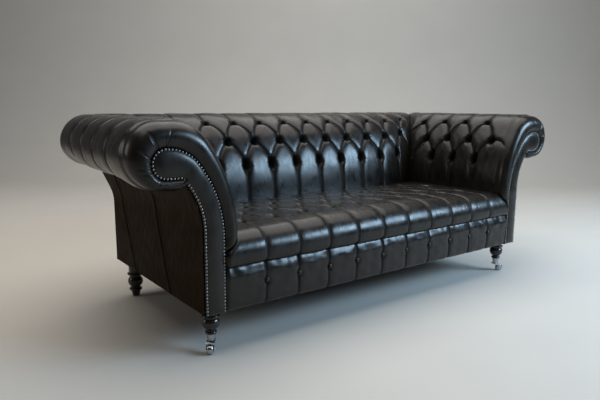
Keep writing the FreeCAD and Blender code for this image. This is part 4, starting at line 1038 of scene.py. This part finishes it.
@dataclass
class Border:
    """The padded and buttoned border below the seat."""

    palette: Palette
    half: float = 0.7837
    top: float = 0.306
    foot: float = 0.156
    button_z: float = 0.234

    def build(self) -> tuple[Piece, Array, Array]:
        """The border's leather, with the places and aims of its buttons."""
        heights = np.concatenate([[self.top], np.linspace(0.304, self.foot, 42)])
        across = np.linspace(-self.half, self.half, 523)
        s, z = np.meshgrid(across, heights)
        share = (z - self.foot) / (self.top - self.foot)
        y = -0.468 - 0.010 * np.sqrt(np.clip(1 - (2 * share - 1) ** 4, 0, 1))
        y = y + 0.007 * np.clip((share - 0.58) / 0.42, 0, 1) ** 2
        pleats = [PITCH * (n + 0.5) for n in range(-5, 5)]
        folds = [Fold(np.array([(place, 0.31), (place, 0.15)]), (0.0055, 0.0045), (0.030,))
                 for place in pleats]
        buttons = [(place + 0.004, self.button_z) for place in pleats]
        tufting = Tufting(folds, buttons, 0.0035, 0.014, 0.0003, 31)
        drawn, crease = tufting.relief(s, z)
        gather = smooth((share - 0.45) / 0.55) * 0.0007 * ripple(np.stack([s, z * 0.25], axis=-1), 0.034, 8)
        uneven = 0.7 + 0.3 * ripple(np.stack([s, s * 0], axis=-1), 0.09, 9)
        puff = 0.0045 * np.exp(-((share - 0.74) / 0.17) ** 2) * uneven
        y = y + drawn - gather - puff + 0.0008 * ripple(np.stack([s, z], axis=-1), 0.05, 12)
        y[0] += 0.012
        y = y + 0.012 * smooth((np.abs(s) - 0.765) / 0.019) ** 2
        place = np.stack([s, y, z], axis=-1)
        hem = place[-1:].copy()
        hem[..., 2] = FLOOR_GAP
        tuck = hem.copy()
        tuck[..., 1] = -0.445
        hem[..., 1] += 0.004
        place = np.concatenate([place, hem, tuck])
        pad = np.zeros((2, len(across)))
        relief = np.concatenate([-drawn / 0.018, pad])
        crease = np.concatenate([crease, pad])
        faces = grid_faces(*place.shape[:2], flip=False)
        piece = make_piece("border_leather", place, faces, {"relief": relief, "crease": crease})
        dress(piece, self.palette.leather)
        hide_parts("front_border", "border_buttons")
        run = {"along": s, "up": z, "aim": np.broadcast_to(np.array([0.0, -1.0, 0.0]), (*s.shape, 3))}
        spots, aims = sunk_places(run, buttons, place[:-2], lambda a: a)
        return piece, spots, aims


@dataclass(frozen=True)
class FacingOutline:
    """The outline of the scroll-shaped facing of the right arm, as (x, z)."""

    sweep: float = 0.403
    head: Pair = (0.972, 0.653)
    head_radius: float = 0.048
    outer: float = 0.855

    def parts(self) -> tuple[Array, Array, Array, Array]:
        """The inner sweep, the shoulder, the head, and the run under the head."""
        crest = self.head[1] + self.head_radius
        centre = np.array([FACING_IN + self.sweep, SEAT_TOP])
        reach, rise = centre[0] - self.head[0], crest - SEAT_TOP
        radius = (self.sweep ** 2 - reach ** 2 - rise ** 2) / (2 * (self.sweep - rise))
        shoulder_centre = np.array([self.head[0], crest - radius])
        away = shoulder_centre - centre
        bend = math.degrees(math.atan2(away[1], away[0]))
        flare = FLARE_RADIUS + 0.003
        under = self.head[1] - self.head_radius
        neck = self.outer + flare - math.sqrt(flare ** 2 - (under - FLARE_START) ** 2)
        return (arc(tuple(centre), self.sweep, 180, bend, 60),
                arc(tuple(shoulder_centre), radius, bend, 90, 30),
                arc(self.head, self.head_radius, 90, -90, 40),
                np.array([(self.head[0], under), (neck, under)]))

    def outer_edge(self) -> Array:
        """The flare and the straight outer edge, downwards."""
        flare = FLARE_RADIUS + 0.003
        under = self.head[1] - self.head_radius
        top = 180 - math.degrees(math.asin((under - FLARE_START) / flare))
        return np.concatenate([arc((self.outer + flare, FLARE_START), flare, top, 180, 30),
                               np.array([(self.outer, FLOOR_GAP)])])

    def closed(self) -> Array:
        """The whole outline, from the lower inner corner round to the lower outer corner."""
        inner, shoulder, head, under = self.parts()
        return np.concatenate([[(FACING_IN, FLOOR_GAP)], inner, shoulder[1:], head[1:], under[1:],
                               self.outer_edge()[1:]])


def inside(points: Array, outline: Array) -> Array:
    """Whether each point lies inside a closed outline."""
    result = np.zeros(len(points), dtype=bool)
    following = np.roll(outline, -1, axis=0)
    for (ax, ay), (bx, by) in zip(outline, following):
        crosses = (ay > points[:, 1]) != (by > points[:, 1])
        if ay != by:
            result ^= crosses & (points[:, 0] < (bx - ax) * (points[:, 1] - ay) / (by - ay) + ax)
    return result


def edge_distance(points: Array, outline: Array) -> Array:
    """The distance from each point to an outline."""
    best = np.full(len(points), 1e9)
    for a, b in zip(outline, np.roll(outline, -1, axis=0)):
        way = b - a
        share = np.clip(((points - a) @ way) / max(way @ way, 1e-12), 0, 1)
        best = np.minimum(best, np.linalg.norm(points - a - share[:, None] * way, axis=1))
    return best


@dataclass
class Facing:
    """The scroll-shaped facing of one arm, with its row of nails."""

    palette: Palette
    side: Side
    step: float = 0.005
    crown: float = 0.0110
    crown_reach: float = 0.040

    def build(self) -> Piece:
        """The crowned leather panel."""
        outline = FacingOutline().closed()
        edge = resample(np.concatenate([outline, outline[:1]]), 420)[:-1]
        low, high = outline.min(axis=0), outline.max(axis=0)
        xs, zs = np.meshgrid(np.arange(low[0], high[0], self.step), np.arange(low[1], high[1], self.step))
        field_points = np.stack([xs.ravel(), zs.ravel()], axis=1)
        field_points = field_points[inside(field_points, edge)]
        field_points = field_points[edge_distance(field_points, edge) > self.step * 0.6]
        points = np.concatenate([edge, field_points])
        edges = [(n, (n + 1) % len(edge)) for n in range(len(edge))]
        whole = [list(range(len(edge)))]
        flat, _, faces, *_ = delaunay_2d_cdt([Vector(p) for p in points], edges, whole, 1, 1e-6)
        flat = np.array(flat)
        gap = edge_distance(flat, edge)
        near = np.clip(gap / self.crown_reach, 0, 1)
        rise = self.crown * np.sqrt(np.clip(1 - (1 - near) ** 2, 0, 1)) + 0.002 * smooth(gap / 0.006)
        rise = rise + 0.0005 * smooth(gap / 0.02) * ripple(flat, 0.07, 14 + self.side.value)
        front = np.stack([flat[:, 0] * self.side.value, FACE - rise, flat[:, 1]], axis=1)
        back = front[:len(edge)].copy()
        back[:, 1] = FACE + 0.008
        count = len(front)
        all_faces = [list(face) for face in faces]
        all_faces += [[a, b, count + b, count + a] for a, b in edges]
        if self.side is Side.LEFT:
            all_faces = [face[::-1] for face in all_faces]
        word = self.side.name.lower()
        points = np.concatenate([front, back])
        zeros = np.zeros(len(points))
        piece = make_piece(f"facing_leather_{word}", points, all_faces, {"relief": zeros, "crease": zeros})
        self.orient(piece)
        dress(piece, self.palette.leather)
        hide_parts(f"facing_panel_{word}")
        return piece

    @staticmethod
    def orient(piece: Piece) -> None:
        """Turn the faces outwards if the panel came out reversed."""
        normals = np.zeros(len(piece.data.polygons) * 3)
        piece.data.polygons.foreach_get("normal", normals)
        if normals.reshape(-1, 3)[:, 1].sum() > 0:
            piece.data.flip_normals()

    def nail_line(self) -> Array:
        """The path of the nails, a little inside the facing's edge."""
        outline = FacingOutline().closed()
        dense = resample(outline, 900)
        way = np.gradient(dense, axis=0)
        way /= np.linalg.norm(way, axis=1)[:, None]
        inward = np.stack([way[:, 1], -way[:, 0]], axis=1)
        line = dense + inward * 0.0035
        line = line[(line[:, 1] > 0.157)]
        return np.stack([line[:, 0] * self.side.value, np.full(len(line), FACE - 0.0062), line[:, 1]], axis=1)


# Repeated heads, set by Geometry Nodes

class HeadTree:
    """Geometry Nodes that set one shaped head on each point, or at an even pitch along a path."""

    def __init__(self, name: str, on_path: bool) -> None:
        """Build the tree.

        Args:
            name: the tree's name.
            on_path: True where the points are spaced along the path that the mesh's edges make.
        """
        self.tree = bpy.data.node_groups.new(name, "GeometryNodeTree")
        ask = self.tree.interface.new_socket
        ask("Geometry", in_out="INPUT", socket_type="NodeSocketGeometry")
        self.head = ask("Head", in_out="INPUT", socket_type="NodeSocketObject").identifier
        self.pitch = ask("Pitch", in_out="INPUT", socket_type="NodeSocketFloat").identifier
        self.tilt = ask("Unevenness", in_out="INPUT", socket_type="NodeSocketFloat").identifier
        self.finish = ask("Finish", in_out="INPUT", socket_type="NodeSocketMaterial").identifier
        ask("Geometry", in_out="OUTPUT", socket_type="NodeSocketGeometry")
        nodes, links = self.tree.nodes, self.tree.links
        given, result = nodes.new("NodeGroupInput"), nodes.new("NodeGroupOutput")
        head = nodes.new("GeometryNodeObjectInfo")
        links.new(given.outputs["Head"], head.inputs["Object"])
        aim = nodes.new("GeometryNodeInputNamedAttribute")
        aim.data_type = "FLOAT_VECTOR"
        aim.inputs["Name"].default_value = "aim"
        places = given.outputs["Geometry"]
        if on_path:
            path = nodes.new("GeometryNodeMeshToCurve")
            even = nodes.new("GeometryNodeResampleCurve")
            mode = even.inputs.get("Mode")
            if mode is None:
                even.mode = "LENGTH"
            else:
                mode.default_value = "Length"
            links.new(places, path.inputs["Mesh"])
            links.new(path.outputs["Curve"], even.inputs["Curve"])
            links.new(given.outputs["Pitch"], even.inputs["Length"])
            places = even.outputs["Curve"]
        turn = nodes.new("FunctionNodeAlignRotationToVector")
        turn.axis = "Z"
        uneven = nodes.new("FunctionNodeRandomValue")
        uneven.data_type = "FLOAT_VECTOR"
        uneven.inputs["Min"].default_value = (-1.0, -1.0, -1.0)
        uneven.inputs["Seed"].default_value = 4
        scaled = nodes.new("ShaderNodeVectorMath")
        scaled.operation = "SCALE"
        links.new(uneven.outputs["Value"], scaled.inputs[0])
        links.new(given.outputs["Unevenness"], scaled.inputs["Scale"])
        added = nodes.new("ShaderNodeVectorMath")
        links.new(aim.outputs["Attribute"], added.inputs[0])
        links.new(scaled.outputs["Vector"], added.inputs[1])
        links.new(added.outputs["Vector"], turn.inputs["Vector"])
        setter = nodes.new("GeometryNodeInstanceOnPoints")
        links.new(places, setter.inputs["Points"])
        links.new(head.outputs["Geometry"], setter.inputs["Instance"])
        links.new(turn.outputs["Rotation"], setter.inputs["Rotation"])
        real = nodes.new("GeometryNodeRealizeInstances")
        paint = nodes.new("GeometryNodeSetMaterial")
        links.new(setter.outputs["Instances"], real.inputs["Geometry"])
        links.new(real.outputs["Geometry"], paint.inputs["Geometry"])
        links.new(given.outputs["Finish"], paint.inputs["Material"])
        links.new(paint.outputs["Geometry"], result.inputs["Geometry"])

    def run(self, name: str, points: Array, aims: Array, head: Piece, pitch: float,
            tilt: float, finish: bpy.types.Material) -> Piece:
        """Set heads on points or along a path, as a plain mesh.

        Args:
            name: the new piece's name.
            points: the points, in the path's order.
            aims: the way each head faces.
            head: the head's mesh object.
            pitch: spacing along a path.
            tilt: how uneven the heads sit.
            finish: the heads' material.

        Returns:
            The piece.
        """
        mesh = bpy.data.meshes.new(name + "_points")
        mesh.from_pydata(points.tolist(), [(n, n + 1) for n in range(len(points) - 1)], [])
        layer = mesh.attributes.new("aim", "FLOAT_VECTOR", "POINT")
        layer.data.foreach_set("vector", np.asarray(aims, dtype=np.float32).ravel())
        carrier = bpy.data.objects.new(name + "_points", mesh)
        bpy.context.scene.collection.objects.link(carrier)
        modifier = carrier.modifiers.new("heads", "NODES")
        modifier.node_group = self.tree
        for key, value in ((self.head, head), (self.pitch, pitch), (self.tilt, tilt), (self.finish, finish)):
            modifier[key] = value
        bpy.context.view_layer.update()
        depsgraph = bpy.context.evaluated_depsgraph_get()
        result = bpy.data.meshes.new_from_object(carrier.evaluated_get(depsgraph))
        bpy.data.objects.remove(carrier)
        result.polygons.foreach_set("use_smooth", [True] * len(result.polygons))
        piece = bpy.data.objects.new(name, result)
        bpy.context.scene.collection.objects.link(piece)
        return piece


@dataclass
class Trimmings:
    """Covered buttons and decorative nails."""

    palette: Palette
    nail_radius: float = 0.0044
    nail_pitch: float = 0.0112

    def button_head(self, radius: float) -> Piece:
        """A leather-covered button, domed with a soft edge."""
        profile = ((0, -0.45), (0.8, -0.42), (1, -0.15), (0.98, 0.08), (0.8, 0.30), (0.5, 0.43), (0, 0.48))
        return lathe("button_head", [(out * radius, up * radius) for out, up in profile], 20)

    def nail_head(self) -> Piece:
        """A domed nail head with a thin rim."""
        radius = self.nail_radius
        profile = ((0, -0.3), (0.9, -0.3), (1, 0), (0.93, 0.16), (0.72, 0.42), (0.4, 0.58), (0, 0.64))
        return lathe("nail_head", [(out * radius, up * radius) for out, up in profile], 14)

    def build(self, groups: dict[str, tuple[Array, Array, float, float]], facings: list[Facing]) -> None:
        """Make every button group and both rows of nails.

        Args:
            groups: for each name the places, aims, radius and sinking of its buttons.
            facings: the facings that carry nails.
        """
        spots_tree = HeadTree("heads_on_points", on_path=False)
        for name, (spots, aims, radius, sink) in groups.items():
            head = self.button_head(radius)
            aims = aims / np.linalg.norm(aims, axis=1)[:, None]
            piece = spots_tree.run(name, spots - aims * sink, aims, head, 1.0, 0.06, self.palette.leather)
            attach(piece, "sofa")
            bpy.data.objects.remove(head)
            log.info("%s: %d heads", name, len(spots))
        path_tree = HeadTree("heads_on_path", on_path=True)
        head = self.nail_head()
        for facing in facings:
            line = facing.nail_line()
            aims = np.tile([0.0, -1.0, 0.0], (len(line), 1))
            name = f"nails_{facing.side.name.lower()}"
            piece = path_tree.run(name, line, aims, head, self.nail_pitch, 0.10, self.palette.pewter)
            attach(piece, "sofa")
            log.info("%s made", name)
        bpy.data.objects.remove(head)


@dataclass
class OutsidePanels:
    """The flat leather panels of the arms' outsides and of the back."""

    palette: Palette
    arm_seams: tuple[Array, ...] = (
        np.array([(FLOOR_GAP, -0.212), (0.25, -0.168), (0.35, -0.130), (0.43, -0.104), (0.50, -0.102),
                  (0.61, -0.112)]),
        np.array([(FLOOR_GAP, 0.128), (0.25, 0.175), (0.35, 0.222), (0.42, 0.252), (0.50, 0.252),
                  (0.61, 0.235)]),
    )
    back_seams: tuple[Array, ...] = tuple(np.array([(FLOOR_GAP, x), (0.61, x)]) for x in (-0.43, 0.0, 0.43))
    top: float = 0.606

    @staticmethod
    def flare(height: Array, corner: Array) -> Array:
        """How far the panel stands out at a height, from its plain run (0) to the rear corner (1)."""
        rise = np.clip(height - FLARE_START, 0, None)
        plain = FLARE_RADIUS - np.sqrt(FLARE_RADIUS ** 2 - np.minimum(rise, 0.2) ** 2)
        start, radius, lean = 0.41, 0.20, math.radians(20)
        rise = np.clip(height - start, 0, None)
        bent = radius - np.sqrt(radius ** 2 - np.minimum(rise, radius * math.sin(lean)) ** 2)
        bent = bent + np.clip(rise - radius * math.sin(lean), 0, None) * math.tan(lean)
        return plain * (1 - corner) + bent * corner

    def surface(self, half_run: Pair, wall: float, seams: tuple[Array, ...],
                corner: Pair, both: bool, seed: int) -> tuple[Array, dict[str, Array]]:
        """The outer surface of a flared panel, in (along, out, up).

        Args:
            half_run: where it begins and ends along its run.
            wall: how far out its flat part stands.
            seams: each seam as rows of height and place.
            corner: where the plain flare begins to turn into the corner's, and where it is that.
            both: True where both ends are rear corners.
            seed: for its unevenness.

        Returns:
            The points and their marks.
        """
        start, stop = half_run
        height = np.linspace(FLOOR_GAP + 0.002, self.top, 110)[:, None]
        reach = np.linspace(0, 1, int((stop - start) / GRID))[None, :]
        tip = self.flare(height, np.ones(1))
        first = start - (tip if both else 0.0)
        along = first + (stop + tip - first) * reach
        z = np.broadcast_to(height, along.shape)
        place = np.abs(along) if both else along
        weight = smooth((place - corner[0]) / (corner[1] - corner[0]))
        offset = 0.0010 * ripple(np.stack([along, z], axis=-1), 0.22, seed) + 0.0018
        offset = offset + 0.0004 * ripple(np.stack([along, z], axis=-1), 0.05, seed + 1)
        crease = np.zeros(along.shape)
        for seam in seams:
            gap = np.abs(along - np.interp(z, seam[:, 0], seam[:, 1]))
            offset = offset - 0.0030 * np.exp(-(gap / 0.0045) ** 2)
            offset = offset + 0.0014 * np.exp(-((gap - 0.013) / 0.010) ** 2)
            crease = np.maximum(crease, np.exp(-(gap / 0.0032) ** 2))
        edge = np.minimum(along - first, stop + tip - along) if both else stop + tip - along
        offset = offset - 0.003 * (1 - smooth(edge / 0.010)) - 0.002 * (1 - smooth((z - FLOOR_GAP) / 0.008))
        points = np.stack([along, wall + self.flare(height, weight) + offset, z], axis=-1)
        hem = points[:1] * np.array([1.0, 0.0, 0.0]) + np.array([0.0, wall - 0.012, FLOOR_GAP])
        points = np.concatenate([hem, points])
        crease = np.concatenate([crease[:1], crease])
        return points, {"relief": np.zeros(crease.shape), "crease": crease}

    def build(self) -> None:
        """Make the three outside panels."""
        for side in Side:
            word = side.name.lower()
            points, marks = self.surface((FACE, WALL_Y), WALL_X, self.arm_seams, (0.05, 0.33), False,
                                         70 + side.value)
            points = points[..., [1, 0, 2]] * np.array([side.value, 1, 1])
            faces = grid_faces(*points.shape[:2], flip=side is Side.LEFT)
            piece = make_piece(f"outside_arm_leather_{word}", points, faces, marks)
            dress(piece, self.palette.panel_leather)
            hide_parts(f"outside_arm_{word}")
        points, marks = self.surface((-WALL_X, WALL_X), WALL_Y, self.back_seams, (0.55, 0.82), True, 90)
        piece = make_piece("outside_back_leather", points, grid_faces(*points.shape[:2], flip=True), marks)
        dress(piece, self.palette.panel_leather)
        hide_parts("outside_back")


def dress_frame(palette: Palette) -> None:
    """Give every CAD node its procedural finish by the record's material slots."""
    finishes = {
        "tufted_leather": palette.leather, "panel_leather": palette.panel_leather,
        "frame_wood": palette.beech, "fibreboard": palette.board, "padding": palette.padding,
        "webbing": palette.webbing, "base_cloth": palette.base_cloth, "turned_wood": palette.lacquer,
        "castor_chrome": palette.chrome, "steel": palette.steel,
    }
    for entry in frame["record"]["subparts"]:
        node = frame["nodes"][entry["node"]]
        node.data.materials.clear()
        node.data.materials.append(finishes[entry["material_slot"]])


@dataclass(frozen=True)
class Studio:
    """The camera of the photograph, a pale floor and soft lamps."""

    place: Triple = (-1.63559, -2.01764, 0.82981)
    yaw: float = 36.7197
    pitch: float = 9.7275
    roll: float = 0.339
    lens: float = 33.46

    def camera(self) -> None:
        """Set the camera."""
        yaw, pitch, roll = (math.radians(a) for a in (self.yaw, self.pitch, self.roll))
        forward = Vector((math.sin(yaw) * math.cos(pitch), math.cos(yaw) * math.cos(pitch), -math.sin(pitch)))
        right = Vector((math.cos(yaw), -math.sin(yaw), 0.0))
        up = right.cross(forward)
        level = right * math.cos(roll) + up * math.sin(roll)
        rise = up * math.cos(roll) - right * math.sin(roll)
        data = bpy.data.cameras.new("camera")
        data.lens, data.sensor_width = self.lens, 36.0
        data.clip_start, data.clip_end = 0.05, 50.0
        camera = bpy.data.objects.new("camera", data)
        turn = Matrix((level, rise, -forward)).transposed()
        camera.matrix_world = Matrix.Translation(self.place) @ turn.to_4x4()
        bpy.context.scene.collection.objects.link(camera)
        bpy.context.scene.camera = camera

    def lamp(self, name: str, place: Triple, target: Triple,
             size: Pair, power: float, colour: Triple) -> None:
        """Add one soft lamp that faces a target."""
        data = bpy.data.lights.new(name, "AREA")
        data.shape, data.size, data.size_y = "RECTANGLE", size[0], size[1]
        data.energy, data.color = power, colour
        lamp = bpy.data.objects.new(name, data)
        way = Vector(target) - Vector(place)
        lamp.matrix_world = Matrix.Translation(place) @ way.to_track_quat("-Z", "Y").to_matrix().to_4x4()
        bpy.context.scene.collection.objects.link(lamp)

    def floor(self) -> None:
        """A pale floor that sweeps up far behind the sofa."""
        sheet = NodeSheet("pale_floor")
        grain = sheet.noise(3.0, 4.0)
        sheet.drive(sheet.blend(grain, (0.47, 0.445, 0.405), (0.51, 0.48, 0.44)), "Base Color")
        sheet.level(Roughness=0.8)
        bend = arc((3.2, 1.6), 1.6, -90, 0, 24)
        line = np.concatenate([[(-7.0, 0.0)], bend, [(4.8, 6.0)]])
        across = np.array([-9.0, 9.0])
        turn = math.radians(self.yaw)
        ahead = np.array([math.sin(turn), math.cos(turn)])
        beside = np.array([math.cos(turn), -math.sin(turn)])
        plan = line[:, None, :1] * ahead + across[None, :, None] * beside
        height = np.broadcast_to(line[:, None, 1:], (*plan.shape[:2], 1))
        points = np.concatenate([plan, height], axis=-1)
        piece = make_piece("studio_floor", points, grid_faces(*points.shape[:2], flip=True))
        piece.data.materials.append(sheet.material)

    def build(self) -> None:
        """Camera, floor, lamps and world."""
        self.camera()
        self.floor()
        self.lamp("window", (2.35, -2.9, 1.95), (0.1, 0.0, 0.45), (2.2, 0.95), 180.0, (0.52, 0.76, 1.0))
        self.lamp("overhead", (0.3, 0.6, 4.0), (0.3, 0.6, 0.0), (6.0, 5.0), 250.0, (1.0, 0.965, 0.92))
        self.lamp("left_fill", (-3.8, 1.6, 1.5), (-0.8, 0.0, 0.5), (1.2, 1.4), 14.0, (1.0, 0.93, 0.82))
        world = bpy.data.worlds.new("soft_room")
        world.use_nodes = True
        background = world.node_tree.nodes["Background"]
        background.inputs["Color"].default_value = (0.06, 0.063, 0.066, 1.0)
        bpy.context.scene.world = world
        bpy.context.scene.view_settings.view_transform = "Standard"


def main() -> None:
    """Build the sofa's pieces in order."""
    logging.basicConfig(level=logging.INFO, format="%(name)s: %(message)s")
    palette = Palette()
    Studio().build()
    dress_frame(palette)
    groups = {}
    for side in (Side.LEFT, Side.RIGHT):
        piece, spots, aims = Arm(palette, side=side).build()
        groups[f"arm_buttons_cover_{side.name.lower()}"] = (spots, aims, 0.0098, 0.001)
        log.info("%s: %d faces", piece.name, len(piece.data.polygons))
    for name, maker, radius, sink in (("back", Back(palette), 0.0095, 0.003),
                                      ("seat", Seat(palette), 0.0085, 0.002),
                                      ("border", Border(palette), 0.0092, -0.0034)):
        piece, spots, aims = maker.build()
        groups[f"{name}_buttons_cover"] = (spots, aims, radius, sink)
        log.info("%s: %d faces", piece.name, len(piece.data.polygons))
    facings = [Facing(palette, side) for side in Side]
    for facing in facings:
        facing.build()
    Trimmings(palette).build(groups, facings)
    OutsidePanels(palette).build()


if __name__ == "__main__":
    main()
